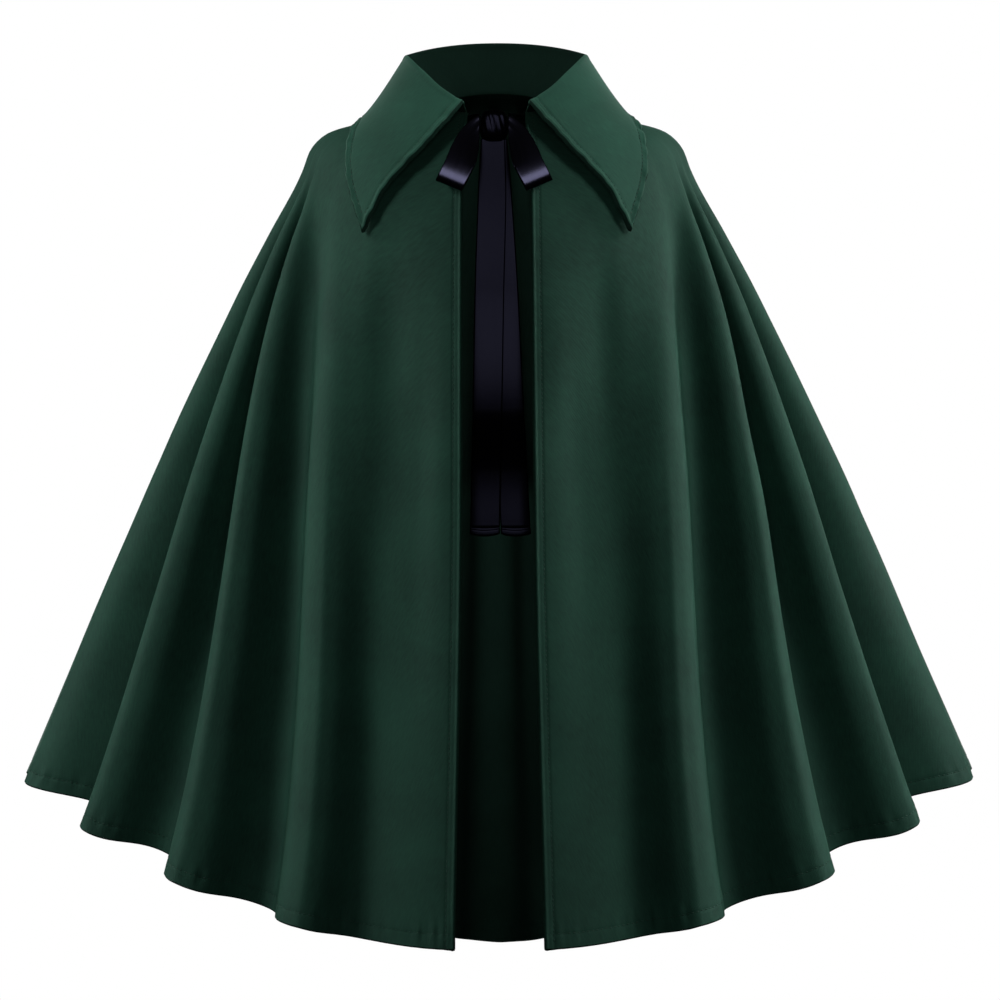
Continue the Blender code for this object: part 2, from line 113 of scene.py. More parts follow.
def smooth_curve(knots: np.ndarray, values: np.ndarray, at: np.ndarray) -> np.ndarray:
    """Read a smooth curve through a table's values that never overshoots them.

    Args:
        knots: the places of the values, rising.
        values: the table's values.
        at: the places asked for.

    Returns:
        The curve's values at those places.
    """
    knots, values = np.asarray(knots, float), np.asarray(values, float)
    steps = np.diff(knots)
    slopes = np.diff(values) / steps
    before, after = slopes[:-1], slopes[1:]
    same_way = before * after > 0
    weight = np.where(same_way, before + after, 1.0)
    tangents = np.empty_like(values)
    tangents[1:-1] = np.where(same_way, 2.0 * before * after / weight, 0.0)
    tangents[0], tangents[-1] = slopes[0], slopes[-1]
    at = np.clip(at, knots[0], knots[-1])
    span = np.clip(np.searchsorted(knots, at, side="right") - 1, 0, len(steps) - 1)
    step = steps[span]
    t = (at - knots[span]) / step
    return (
        values[span] * (1 + 2 * t) * (1 - t) ** 2
        + tangents[span] * step * t * (1 - t) ** 2
        + values[span + 1] * t**2 * (3 - 2 * t)
        + tangents[span + 1] * step * t**2 * (t - 1)
    )


def read_table(rows: tuple[NamedTuple, ...], knot: str, field: str, at: np.ndarray) -> np.ndarray:
    """Read one column of a table between its rows.

    Args:
        rows: the table.
        knot: the column that says where each row is.
        field: the column to read.
        at: the places asked for.

    Returns:
        The column's values at those places.
    """
    return smooth_curve([getattr(row, knot) for row in rows], [getattr(row, field) for row in rows], at)


def unit(vectors: np.ndarray) -> np.ndarray:
    """Vectors of length one."""
    return vectors / np.linalg.norm(vectors, axis=-1, keepdims=True)


def ease(share: np.ndarray) -> np.ndarray:
    """A share from 0 to 1 that starts and ends gently."""
    share = np.clip(share, 0.0, 1.0)
    return share**2 * (3.0 - 2.0 * share)


def hump(distance: np.ndarray, middle: float, width: float) -> np.ndarray:
    """A soft hump one high, at its middle, that fades over its width."""
    return np.exp(-(((distance - middle) / width) ** 2))


class Wave(NamedTuple):
    """One of the plain waves that add up to an uneven one."""

    rate: float
    shift: float
    height: float


WAVES = (Wave(1.0, 0.0, 0.5), Wave(0.618, 1.7, 0.35), Wave(1.732, 4.1, 0.25), Wave(0.293, 2.6, 0.3))
SEED_RATE = 3.0


def wander(along: np.ndarray, seed: float) -> np.ndarray:
    """Read an uneven wave with no repeat, between about -1 and 1.

    Args:
        along: place, one for each wave or so.
        seed: sets which wave this is.

    Returns:
        The wave's height at each place.
    """
    return sum(
        wave.height * np.sin(TURN * wave.rate * along + wave.shift + seed * (1.0 + SEED_RATE * wave.rate))
        for wave in WAVES
    )


def grid_normals(points: np.ndarray) -> np.ndarray:
    """Unit normals of a grid whose rows run down and whose columns run along."""
    return unit(np.cross(np.gradient(points, axis=0), np.gradient(points, axis=1)))


def run_along(points: np.ndarray, axis: int) -> np.ndarray:
    """Measure the length along a grid's lines.

    Args:
        points: a grid of points.
        axis: 0 to measure down the rows, 1 to measure along the columns.

    Returns:
        The distance of each point from the start of its line.
    """
    steps = np.linalg.norm(np.diff(points, axis=axis), axis=-1)
    start = np.zeros_like(np.take(steps, [0], axis=axis))
    return np.concatenate([start, np.cumsum(steps, axis=axis)], axis=axis)


def quad_object(
    name: str,
    corners: np.ndarray,
    quads: np.ndarray,
    cut: np.ndarray,
    materials: tuple[bpy.types.Material, ...],
    worn: np.ndarray | None = None,
) -> bpy.types.Object:
    """Make a smooth object of four-sided faces.

    Args:
        name: the piece's name.
        corners: places of the corners.
        quads: four corner numbers for each face.
        cut: each corner's place on the flat cut cloth, in metres.
        materials: the finishes.
        worn: which finish each face wears, or None where there is one.

    Returns:
        The object, linked to the scene.
    """
    mesh = bpy.data.meshes.new(name)
    mesh.vertices.add(len(corners))
    mesh.vertices.foreach_set("co", corners.astype(np.float32).ravel())
    mesh.loops.add(quads.size)
    mesh.loops.foreach_set("vertex_index", quads.astype(np.int32).ravel())
    mesh.polygons.add(len(quads))
    mesh.polygons.foreach_set("loop_start", np.arange(0, quads.size, 4, dtype=np.int32))
    mesh.polygons.foreach_set("use_smooth", np.ones(len(quads), bool))
    layer = mesh.uv_layers.new(name=CUT_MAP)
    layer.data.foreach_set("uv", cut[quads.ravel()].astype(np.float32).ravel())
    if worn is not None:
        mesh.polygons.foreach_set("material_index", worn.astype(np.int32))
    mesh.update(calc_edges=True)
    mesh.validate()
    for material in materials:
        mesh.materials.append(material)
    thing = bpy.data.objects.new(name, mesh)
    bpy.context.scene.collection.objects.link(thing)
    return thing


class Sides(NamedTuple):
    """The finishes of a cloth's two sides. The wrong side's finish is also worn as painted shade on the rows
    and rims that a shell is given as shaded.
    """

    right: bpy.types.Material
    wrong: bpy.types.Material


RIM_ROUNDNESS = 0.9


def cloth_shell(
    name: str,
    middle: np.ndarray,
    outer: np.ndarray,
    inner: np.ndarray,
    cut: np.ndarray,
    sides: Sides,
    shaded_rows: int = 0,
    shaded_rims: tuple[int, ...] = (),
) -> bpy.types.Object:
    """Make a closed thin shell of cloth with rounded edges.

    Args:
        name: the piece's name.
        middle: a grid of points in the middle of the cloth.
        outer: how far the right side lies out from the middle, for each point.
        inner: how far the wrong side lies in from the middle, for each point.
        cut: each point's place on the flat cut cloth, in metres.
        sides: the finishes of the cloth's right and wrong side.
        shaded_rows: how many rows at the start wear the wrong side's darker finish on their right side too,
            as painted shade.
        shaded_rims: rows at whose ends the rim wears the wrong side's darker finish, as painted shade.

    Returns:
        The object, linked to the scene.
    """
    rows, columns = middle.shape[:2]
    count = rows * columns
    normals = grid_normals(middle)
    face = (middle + normals * outer[..., None]).reshape(-1, 3)
    lining = (middle - normals * inner[..., None]).reshape(-1, 3)
    number = np.arange(count).reshape(rows, columns)
    around = np.concatenate([number[:, 0], number[-1, 1:], number[-2::-1, -1], number[0, -2:0:-1]])
    away = np.zeros_like(middle)
    away[:, 0] -= unit(middle[:, 1] - middle[:, 0])
    away[:, -1] += unit(middle[:, -1] - middle[:, -2])
    away[0] -= unit(middle[1] - middle[0])
    away[-1] += unit(middle[-1] - middle[-2])
    half = (outer + inner).ravel()[around][:, None] / 2.0
    rim = (face[around] + lining[around]) / 2.0 + unit(away.reshape(-1, 3)[around]) * half * RIM_ROUNDNESS
    corners = [number[:-1, :-1], number[1:, :-1], number[1:, 1:], number[:-1, 1:]]
    sheet = np.stack(corners, axis=-1).reshape(-1, 4)
    edge = 2 * count + np.arange(len(around))
    there, edge_there = np.roll(around, -1), np.roll(edge, -1)
    quads = np.concatenate(
        [
            sheet,
            sheet[:, ::-1] + count,
            np.stack([around, edge, edge_there, there], axis=-1),
            np.stack([edge, around + count, there + count, edge_there], axis=-1),
        ]
    )
    # The first rows' right side and the chosen rims wear the wrong side's darker finish: painted shade.
    shaded_face = np.arange(len(sheet)) < shaded_rows * (columns - 1)
    shaded_rim = np.isin(around // columns, [row % rows for row in shaded_rims])
    worn = np.concatenate([shaded_face, np.ones(len(sheet)), shaded_rim, np.ones(len(around))])
    flat = cut.reshape(-1, 2)
    places = np.concatenate([face, lining, rim])
    return quad_object(name, places, quads, np.concatenate([flat, flat, flat[around]]), sides, worn)


class Seam(NamedTuple):
    """A line of machine stitches: its points and the cloth's normals there."""

    points: np.ndarray
    normals: np.ndarray


def seam_at(face: np.ndarray, distance: float, measure: np.ndarray, axis: int) -> Seam:
    """Find the line on a cloth's face that lies a fixed distance from one of its edges.

    Args:
        face: grid of points.
        distance: how far from the edge.
        measure: each point's distance from the edge.
        axis: 0 where the distance is measured down the rows, 1 along the columns.

    Returns:
        The line.
    """
    normals = grid_normals(face)
    if axis == 0:
        face, normals, measure = face.swapaxes(0, 1), normals.swapaxes(0, 1), measure.swapaxes(0, 1)
    if measure[0, 0] > measure[0, -1]:
        face, normals, measure = face[:, ::-1], normals[:, ::-1], measure[:, ::-1]
    points, ups = [], []
    for line, up, reach in zip(face, normals, measure):
        points.append([np.interp(distance, reach, line[:, k]) for k in range(3)])
        ups.append([np.interp(distance, reach, up[:, k]) for k in range(3)])
    return Seam(np.array(points), unit(np.array(ups)))


@dataclass(frozen=True)
class Stitching:
    """Lockstitch in sewing thread, drawn a little coarse so that single stitches show."""

    pitch: float = 0.0042
    stitch: float = 0.0031
    radius: float = 0.00034
    stations: tuple[float, ...] = (0.0, 0.3, 0.7, 1.0)
    girth: tuple[float, ...] = (0.35, 1.0, 1.0, 0.35)
    lift: tuple[float, ...] = (-0.9, 0.55, 0.55, -0.9)

    def sew(self, name: str, seams: list[Seam], material: bpy.types.Material) -> bpy.types.Object:
        """Sew lines of stitches as one object.

        Args:
            name: the piece's name.
            seams: the lines to sew.
            material: the thread's finish.

        Returns:
            The object, linked to the scene.
        """
        rings = np.concatenate([self.rings(seam) for seam in seams])
        corners = rings.reshape(-1, 3)
        stations, ring = rings.shape[1:3]
        first = np.arange(len(rings))[:, None] * stations * ring
        quads = []
        for station in range(stations - 1):
            for side in range(ring):
                here, there = station * ring + side, station * ring + (side + 1) % ring
                quads.append(first + np.array([here, there, there + ring, here + ring]))
        last = (stations - 1) * ring
        quads.append(first + np.array([3, 2, 1, 0]))
        quads.append(first + last + np.array([0, 1, 2, 3]))
        return quad_object(name, corners, np.concatenate(quads), corners[:, [0, 2]], (material,))

    def rings(self, seam: Seam) -> np.ndarray:
        """Place the stitches of one line.

        Args:
            seam: the line.

        Returns:
            Corners by stitch, station and side.
        """
        run = run_along(seam.points, 0)
        starts = np.arange(0.5 * self.pitch, run[-1] - self.pitch, self.pitch)
        at = starts[:, None] + self.stitch * np.array(self.stations)
        points = np.stack([np.interp(at, run, seam.points[:, axis]) for axis in range(3)], axis=-1)
        up = unit(np.stack([np.interp(at, run, seam.normals[:, axis]) for axis in range(3)], axis=-1))
        along = unit(points[:, -1:] - points[:, :1])
        across = np.cross(along, up)
        middle = points + up * (self.radius * np.array(self.lift))[:, None]
        reach = (self.radius * np.array(self.girth))[:, None]
        return np.stack([middle + way * reach for way in (up, across, -up, -across)], axis=2)


def per_metre(size_mm: float) -> float:
    """How many times a size in millimetres goes into a metre."""
    return 1.0 / (size_mm * MILLIMETRE)


@dataclass(frozen=True)
class Finish:
    """What every finish has: two shades, a roughness that varies, gloss, bloom and relief."""

    name: str
    shade: str
    light: str
    roughness: tuple[float, float] = (0.5, 0.5)
    ior: float = 1.5
    specular: float = 0.5
    specular_tint: str = "#FFFFFF"
    sheen: float = 0.0
    sheen_roughness: float = 0.5
    sheen_tint: str = "#FFFFFF"
    relief_mm: float = 0.0
    relief_strength: float = 0.0

    def begin(self) -> tuple[bpy.types.Material, bpy.types.NodeTree]:
        """Start the material.

        Returns:
            The material and its nodes.
        """
        material = bpy.data.materials.new(self.name)
        material.use_nodes = True
        return material, material.node_tree

    @staticmethod
    def drawn_out(
        tree: bpy.types.NodeTree, cut: bpy.types.NodeSocket, size_mm: tuple[float, float], detail: float
    ) -> bpy.types.NodeSocket:
        """Make patches that are drawn out along the threads.

        Args:
            tree: the material's nodes.
            cut: places on the cut cloth.
            size_mm: the patches' width and length.
            detail: how fine their edges are.

        Returns:
            The patches, from 0 to 1.
        """
        wide, long = (per_metre(size) for size in size_mm)
        stretched = add_node(tree, "ShaderNodeMapping", {"Scale": (wide, long, 1.0)}, {"Vector": cut})
        links = {"Vector": stretched.outputs["Vector"]}
        return add_node(tree, "ShaderNodeTexNoise", {"Scale": 1.0, "Detail": detail}, links).outputs["Fac"]

    def surface(
        self,
        tree: bpy.types.NodeTree,
        patches: bpy.types.NodeSocket,
        grain: bpy.types.NodeSocket | None = None,
        height: bpy.types.NodeSocket | None = None,
    ) -> None:
        """Set the shader: what varies by its pattern, and the rest on its own sockets.

        Args:
            tree: the material's nodes.
            patches: where the colour goes from the shade to the light one.
            grain: where the roughness goes from low to high, or None where it is the same all over.
            height: the relief, or None where the surface is smooth.
        """
        shader = tree.nodes["Principled BSDF"]
        ramp = add_node(tree, "ShaderNodeValToRGB", {}, {"Fac": patches})
        for element, colour in zip(ramp.color_ramp.elements, (self.shade, self.light)):
            element.color = to_linear(colour)
        tree.links.new(ramp.outputs["Color"], shader.inputs["Base Color"])
        low, high = self.roughness
        shader.inputs["Roughness"].default_value = low
        if grain is not None:
            rough = add_node(tree, "ShaderNodeMapRange", {"To Min": low, "To Max": high}, {"Value": grain})
            tree.links.new(rough.outputs["Result"], shader.inputs["Roughness"])
        if height is not None:
            relief = {"Strength": self.relief_strength, "Distance": self.relief_mm * MILLIMETRE}
            bump = add_node(tree, "ShaderNodeBump", relief, {"Height": height})
            tree.links.new(bump.outputs["Normal"], shader.inputs["Normal"])
        shader.inputs["Metallic"].default_value = 0.0
        shader.inputs["IOR"].default_value = self.ior
        shader.inputs["Specular IOR Level"].default_value = self.specular
        shader.inputs["Specular Tint"].default_value = to_linear(self.specular_tint)
        shader.inputs["Sheen Weight"].default_value = self.sheen
        shader.inputs["Sheen Roughness"].default_value = self.sheen_roughness
        shader.inputs["Sheen Tint"].default_value = to_linear(self.sheen_tint)


@dataclass(frozen=True)
class Suiting(Finish):
    """Woven polyester suiting, piece-dyed and pressed: matt, with a fine weave and a faint bloom."""

    roughness: tuple[float, float] = (0.70, 0.86)
    ior: float = 1.48
    specular: float = 0.12
    sheen: float = 0.10
    sheen_roughness: float = 0.45
    sheen_tint: str = "#6FA88C"
    relief_mm: float = 0.30
    relief_strength: float = 0.09
    thread_mm: float = 1.15
    thread_wobble: float = 2.5
    thread_detail: float = 1.0
    thread_detail_scale: float = 2.0
    nap_mm: float = 1.3
    nap_detail: float = 3.0
    nap_weight: float = 2.2
    patch_mm: float = 60.0
    slub_mm: tuple[float, float] = (1.2, 9.0)
    dye_detail: float = 2.0
    dye_range: tuple[float, float] = (0.6, 1.4)

    def material(self) -> bpy.types.Material:
        """Make the finish.

        The threads are really about half a millimetre apart, under one pixel, so they are drawn at
        thread_mm to show as a weave. Uneven dye and thicker threads give the colour its variation.

        Returns:
            The material.
        """
        cloth, tree = self.begin()
        cut = add_node(tree, "ShaderNodeUVMap", {"uv_map": CUT_MAP}, {}).outputs["UV"]
        place = add_node(tree, "ShaderNodeTexCoord", {}, {}).outputs["Object"]
        bands = {
            "Scale": per_metre(self.thread_mm) / WAVE_BANDS_PER_UNIT,
            "Distortion": self.thread_wobble,
            "Detail": self.thread_detail,
            "Detail Scale": self.thread_detail_scale,
        }
        warp, weft = (
            add_node(tree, "ShaderNodeTexWave", {**bands, "bands_direction": way}, {"Vector": cut})
            for way in ("X", "Y")
        )
        threads = {0: warp.outputs["Fac"], 1: weft.outputs["Fac"]}
        weave = add_node(tree, "ShaderNodeMath", {"operation": "ADD"}, threads).outputs["Value"]
        nap, patch = (
            add_node(
                tree, "ShaderNodeTexNoise", {"Scale": per_metre(size), "Detail": detail}, {"Vector": place}
            ).outputs["Fac"]
            for size, detail in ((self.nap_mm, self.nap_detail), (self.patch_mm, self.dye_detail))
        )
        napped = {"operation": "MULTIPLY_ADD", 1: self.nap_weight}
        height = add_node(tree, "ShaderNodeMath", napped, {0: nap, 2: weave}).outputs["Value"]
        slub = self.drawn_out(tree, cut, self.slub_mm, self.dye_detail)
        dye = add_node(tree, "ShaderNodeMath", {"operation": "ADD"}, {0: patch, 1: slub}).outputs["Value"]
        low, high = self.dye_range
        spread = add_node(tree, "ShaderNodeMapRange", {"From Min": low, "From Max": high}, {"Value": dye})
        self.surface(tree, spread.outputs["Result"], nap, height)
        return cloth


@dataclass(frozen=True)
class Satin(Finish):
    """Woven polyester satin ribbon: long floating threads give a smooth, streaky gloss."""

    roughness: tuple[float, float] = (0.15, 0.23)
    ior: float = 1.55
    specular: float = 0.62
    specular_tint: str = "#C2C2FA"
    sheen: float = 0.04
    sheen_tint: str = "#B9AEE0"
    relief_mm: float = 0.10
    relief_strength: float = 0.06
    rib_mm: float = 1.1
    rib_wobble: float = 0.8
    streak_mm: tuple[float, float] = (1.6, 60.0)
    streak_detail: float = 3.0

    def material(self) -> bpy.types.Material:
        """Make the finish.

        The real threads are a tenth of a millimetre wide, so the streaks are drawn at streak_mm and
        the cross ribs at rib_mm to show.

        Returns:
            The material.
        """
        satin, tree = self.begin()
        cut = add_node(tree, "ShaderNodeUVMap", {"uv_map": CUT_MAP}, {}).outputs["UV"]
        bands = {
            "Scale": per_metre(self.rib_mm) / WAVE_BANDS_PER_UNIT,
            "Distortion": self.rib_wobble,
            "bands_direction": "Y",
        }
        rib = add_node(tree, "ShaderNodeTexWave", bands, {"Vector": cut}).outputs["Fac"]
        streak = self.drawn_out(tree, cut, self.streak_mm, self.streak_detail)
        self.surface(tree, streak, streak, rib)
        return satin


@dataclass(frozen=True)
class SpunThread(Finish):
    """Spun polyester sewing thread: matt and hairy, a shade lighter than the cloth it sinks into."""

    roughness: tuple[float, float] = (0.55, 0.75)
    specular: float = 0.2
    sheen: float = 0.04
    hair_mm: float = 0.8

    def material(self) -> bpy.types.Material:
        """Make the finish.

        Returns:
            The material.
        """
        thread, tree = self.begin()
        place = add_node(tree, "ShaderNodeTexCoord", {}, {}).outputs["Object"]
        hair = add_node(tree, "ShaderNodeTexNoise", {"Scale": per_metre(self.hair_mm)}, {"Vector": place})
        self.surface(tree, hair.outputs["Fac"], hair.outputs["Fac"])
        return thread


@dataclass(frozen=True)
class StudioPaint(Finish):
    """Matt white studio paint, rolled on: flat to look at, with a faint grain from the roller."""

    roughness: tuple[float, float] = (0.85, 0.85)
    grain_mm: float = 25.0

    def material(self) -> bpy.types.Material:
        """Make the finish.

        Returns:
            The material.
        """
        paint, tree = self.begin()
        place = add_node(tree, "ShaderNodeTexCoord", {}, {}).outputs["Object"]
        grain = add_node(tree, "ShaderNodeTexNoise", {"Scale": per_metre(self.grain_mm)}, {"Vector": place})
        self.surface(tree, grain.outputs["Fac"])
        return paint


class Opening(NamedTuple):
    """Half of the front opening's width at a share of the way down."""

    place: str
    share: float
    half_gap: float


class Outline(NamedTuple):
    """A point of an outline: distance out from the neck's middle, and height."""

    place: str
    out: float
    height: float


class Fold(NamedTuple):
    """A fold's crest or valley: its direction at the hem and at the shoulders, and how deep it is."""

    place: str
    phase: float
    hem_degrees: float
    top_degrees: float
    depth: float
    growth_power: float


class Growth(NamedTuple):
    """How deep the folds are at a share of the way down, as a share of their depth at the hem."""

    place: str
    share: float
    of_depth: float


@dataclass(frozen=True)
class CapeForm:
    """The form the cape hangs in: three outlines from neck to hem, with the folds between them."""

    opening: tuple[Opening, ...] = (
        Opening("neck", 0.00, 0.0250),
        Opening("below the bow", 0.12, 0.0300),
        Opening("middle", 0.50, 0.0310),
        Opening("hem", 1.00, 0.0375),
    )
    side: tuple[Outline, ...] = (
        Outline("neck seam", 0.064, 0.000),
        Outline("collar edge", 0.118, -0.017),
        Outline("shoulder", 0.148, -0.026),
        Outline("shoulder bend", 0.164, -0.041),
        Outline("shoulder tip", 0.171, -0.060),
        Outline("upper arm", 0.197, -0.121),
        Outline("elbow", 0.2910, -0.332),
        Outline("hem", 0.3965, -0.587),
    )
    front: tuple[Outline, ...] = (
        Outline("neck seam", 0.068, -0.018),
        Outline("collar bone", 0.096, -0.050),
        Outline("chest", 0.124, -0.105),
        Outline("bust", 0.144, -0.175),
        Outline("waist", 0.195, -0.380),
        Outline("hem", 0.290, -0.733),
    )
    back: tuple[Outline, ...] = (
        Outline("neck seam", 0.058, 0.016),
        Outline("nape", 0.086, 0.000),
        Outline("shoulder blade", 0.122, -0.060),
        Outline("upper back", 0.146, -0.150),
        Outline("waist", 0.217, -0.390),
        Outline("hem", 0.310, -0.752),
    )
    lift_power: float = 1.1
    back_hem_lift_power: float = 0.75
    front_folds: tuple[Fold, ...] = (
        Fold("front edge", 0.0, 5.4, 8.0, 0.003, 1.0),
        Fold("valley of the front", 0.5, 15.8, 26.0, 0.010, 1.0),
        Fold("chest", 1.0, 23.4, 45.4, 0.024, 2.0),
        Fold("front of the arm", 2.0, 39.8, 65.0, 0.028, 1.0),
        Fold("arm", 3.0, 56.6, 72.0, 0.027, 1.0),
        Fold("valley of the side", 3.5, 64.0, 75.0, 0.026, 1.0),
        Fold("side", 4.0, 76.0, 80.0, 0.025, 1.0),
    )
    back_folds: tuple[Fold, ...] = (
        Fold("behind the left arm", 5.0, 97.0, 97.0, 0.025, 1.0),
        Fold("left shoulder blade", 6.0, 114.0, 113.0, 0.028, 1.0),
        Fold("left back", 7.0, 131.5, 129.0, 0.026, 1.0),
        Fold("left of the spine", 8.0, 148.0, 146.0, 0.029, 1.0),
        Fold("beside the spine", 9.0, 164.0, 163.0, 0.025, 1.0),
        Fold("spine", 10.0, 181.0, 180.0, 0.028, 1.0),
        Fold("right of the spine", 11.0, 197.5, 198.0, 0.026, 1.0),
        Fold("right back", 12.0, 213.0, 215.0, 0.029, 1.0),
        Fold("right shoulder blade", 13.0, 229.5, 231.0, 0.025, 1.0),
        Fold("back of the right arm", 14.0, 246.5, 247.0, 0.027, 1.0),
        Fold("behind the right arm", 15.0, 263.0, 263.0, 0.025, 1.0),
    )
    fold_growth: tuple[Growth, ...] = (
        Growth("under the collar", 0.14, 0.0),
        Growth("shoulder tip", 0.19, 0.05),
        Growth("upper arm", 0.27, 0.32),
        Growth("chest", 0.36, 0.55),
        Growth("elbow", 0.55, 0.76),
        Growth("hem", 1.0, 1.0),
    )
    last_phase: float = 20.0
    left_seam: float = 4.5
    right_seam: float = 15.5
    fold_turn_start: float = 0.2
    fold_turn_power: float = 2.0
    fold_bulge: float = 0.5
    fold_step: float = 0.1
    slope_step: float = 0.001
    upper_front: float = 0.4
    halvings: int = 40

    @property
    def folds(self) -> tuple[Fold, ...]:
        """Every crest from the left front edge round the back to the right one.

        Returns:
            The table of folds.
        """
        right = tuple(
            fold._replace(
                phase=self.last_phase - fold.phase,
                hem_degrees=FULL_DEGREES - fold.hem_degrees,
                top_degrees=FULL_DEGREES - fold.top_degrees,
            )
            for fold in reversed(self.front_folds)
        )
        return self.front_folds + self.back_folds + right

    def fold_column(self, field: str, phase: np.ndarray) -> np.ndarray:
        """Read one column of the folds' table at a phase."""
        return read_table(self.folds, "phase", field, phase)

    def turn(self, share: np.ndarray) -> np.ndarray:
        """How much of a fold's turn is still to come: all of it on the shoulders, none at the hem."""
        return np.clip((1.0 - share) / (1.0 - self.fold_turn_start), 0.0, 1.0) ** self.fold_turn_power

    @staticmethod
    def outline_at(outline: tuple[Outline, ...], share: np.ndarray) -> tuple[np.ndarray, np.ndarray]:
        """Read an outline at a share of its length.

        Args:
            outline: the outline's points.
            share: 0 at the neck, 1 at the hem.

        Returns:
            Distance out and height.
        """
        out = [row.out for row in outline]
        height = [row.height for row in outline]
        chord = np.concatenate([[0.0], np.cumsum(np.hypot(np.diff(out), np.diff(height)))])
        chord /= chord[-1]
        return smooth_curve(chord, out, share), smooth_curve(chord, height, share)

    def growth(self, share: np.ndarray) -> np.ndarray:
        """How deep the folds are at a share of the length: none on the shoulders, whole at the hem."""
        return read_table(self.fold_growth, "share", "of_depth", share)

    def edge_angle(self, share: np.ndarray) -> np.ndarray:
        """Direction of the front edge, in degrees from the front."""
        half_gap = read_table(self.opening, "share", "half_gap", share)
        return np.degrees(np.arcsin(half_gap / self.outline_at(self.side, share)[0]))

    def fold_angle(self, phase: np.ndarray, share: np.ndarray) -> np.ndarray:
        """Find the direction of a crest (whole phase) or valley (half phase).

        Args:
            phase: counts folds round from the left front edge.
            share: 0 at the neck, 1 at the hem.

        Returns:
            Degrees from the front.
        """
        hem, top = self.fold_column("hem_degrees", phase), self.fold_column("top_degrees", phase)
        edge = self.front_folds[0]
        first = edge.hem_degrees + (edge.top_degrees - edge.hem_degrees) * self.turn(share)
        half = FULL_DEGREES / 2.0
        angle = hem + (top - hem) * self.turn(share)
        return half + (angle - half) * (half - self.edge_angle(share)) / (half - first)

    def unfolded(self, degrees: np.ndarray, share: np.ndarray) -> np.ndarray:
        """Find a point of the cape with no folds in it.

        Args:
            degrees: direction from the front.
            share: 0 at the neck, 1 at the hem.

        Returns:
            The points.
        """
        turn = np.radians(degrees)
        side_out, side_height = self.outline_at(self.side, share)
        front_out, front_height = self.outline_at(self.front, share)
        back_out, back_height = self.outline_at(self.back, share)
        facing_front = np.cos(turn) > 0
        depth = np.where(facing_front, front_out, back_out)
        height = np.where(facing_front, front_height, back_height)
        change = np.where(facing_front, 0.0, self.back_hem_lift_power - self.lift_power)
        power = self.lift_power + change * share
        lift = (np.sin(turn) ** 2) ** power
        return np.stack(
            [side_out * np.sin(turn), -depth * np.cos(turn), height + (side_height - height) * lift], axis=-1
        )

    def unfolded_normal(self, degrees: np.ndarray, share: np.ndarray) -> np.ndarray:
        """Find the outward normal of the cape with no folds in it.

        Args:
            degrees: direction from the front.
            share: 0 at the neck, 1 at the hem.

        Returns:
            Unit normals.
        """
        step = self.slope_step
        along = self.unfolded(degrees + step, share) - self.unfolded(degrees - step, share)
        upper, lower = np.clip(share - step, 0.0, 1.0), np.clip(share + step, 0.0, 1.0)
        return unit(np.cross(self.unfolded(degrees, lower) - self.unfolded(degrees, upper), along))

    def point(self, phase: np.ndarray, share: np.ndarray) -> np.ndarray:
        """Find a point in the middle of the cape's cloth.

        Args:
            phase: counts folds round from the left front edge.
            share: 0 at the neck, 1 at the hem.

        Returns:
            The points.
        """
        phase, share = np.broadcast_arrays(np.asarray(phase, float), np.asarray(share, float))
        growth = self.growth(share) ** self.fold_column("growth_power", phase)
        depth = self.fold_column("depth", phase) * growth
        step = self.fold_step / 2.0
        middle = np.clip(phase, step, self.last_phase - step)
        ahead = self.unfolded(self.fold_angle(middle + step, share), share)
        behind = self.unfolded(self.fold_angle(middle - step, share), share)
        along = (ahead - behind)[..., :2]
        length = np.linalg.norm(along, axis=-1)
        slant = depth / (length / self.fold_step)
        bulge = self.fold_bulge * slant**2 * np.sin(2.0 * TURN * phase)
        point = self.unfolded(self.fold_angle(phase + bulge, share), share)
        outward = np.stack([along[..., 1], -along[..., 0]], axis=-1) / length[..., None]
        point[..., :2] += outward * (depth * np.cos(TURN * phase))[..., None]
        return point

    def front_surface(self, x: np.ndarray, z: np.ndarray) -> np.ndarray:
        """Find how far forward the cape's upper front is.

        Args:
            x: place across.
            z: height.

        Returns:
            The place along Y, minus being forward.
        """
        low, high = np.zeros_like(x), np.full_like(x, self.upper_front)
        for _ in range(self.halvings):
            share = (low + high) / 2.0
            degrees = np.degrees(np.arcsin(np.clip(x / self.outline_at(self.side, share)[0], -1.0, 1.0)))
            too_high = self.unfolded(degrees, share)[..., 2] > z
            low, high = np.where(too_high, share, low), np.where(too_high, high, share)
        return self.unfolded(degrees, share)[..., 1]


class Crease(NamedTuple):
    """A soft crease down the cloth: where it starts and ends, and how high (or, minus, deep) it is."""

    phase: float
    drift: float
    top: float
    bottom: float
    height: float
    width: float


class Cut(NamedTuple):
    """A panel's cut, part of a ring: its two radii and its angle."""

    neck_radius: float
    hem_radius: float
    degrees: float

    @property
    def area(self) -> float:
        """The flat area."""
        return math.radians(self.degrees) / 2.0 * (self.hem_radius**2 - self.neck_radius**2)

    @property
    def flat(self) -> tuple[float, float]:
        """Width and length of the straight-sided piece of cloth that the cut comes out of."""
        half = math.radians(self.degrees) / 2.0
        return 2.0 * self.hem_radius * math.sin(half), self.hem_radius - self.neck_radius * math.cos(half)


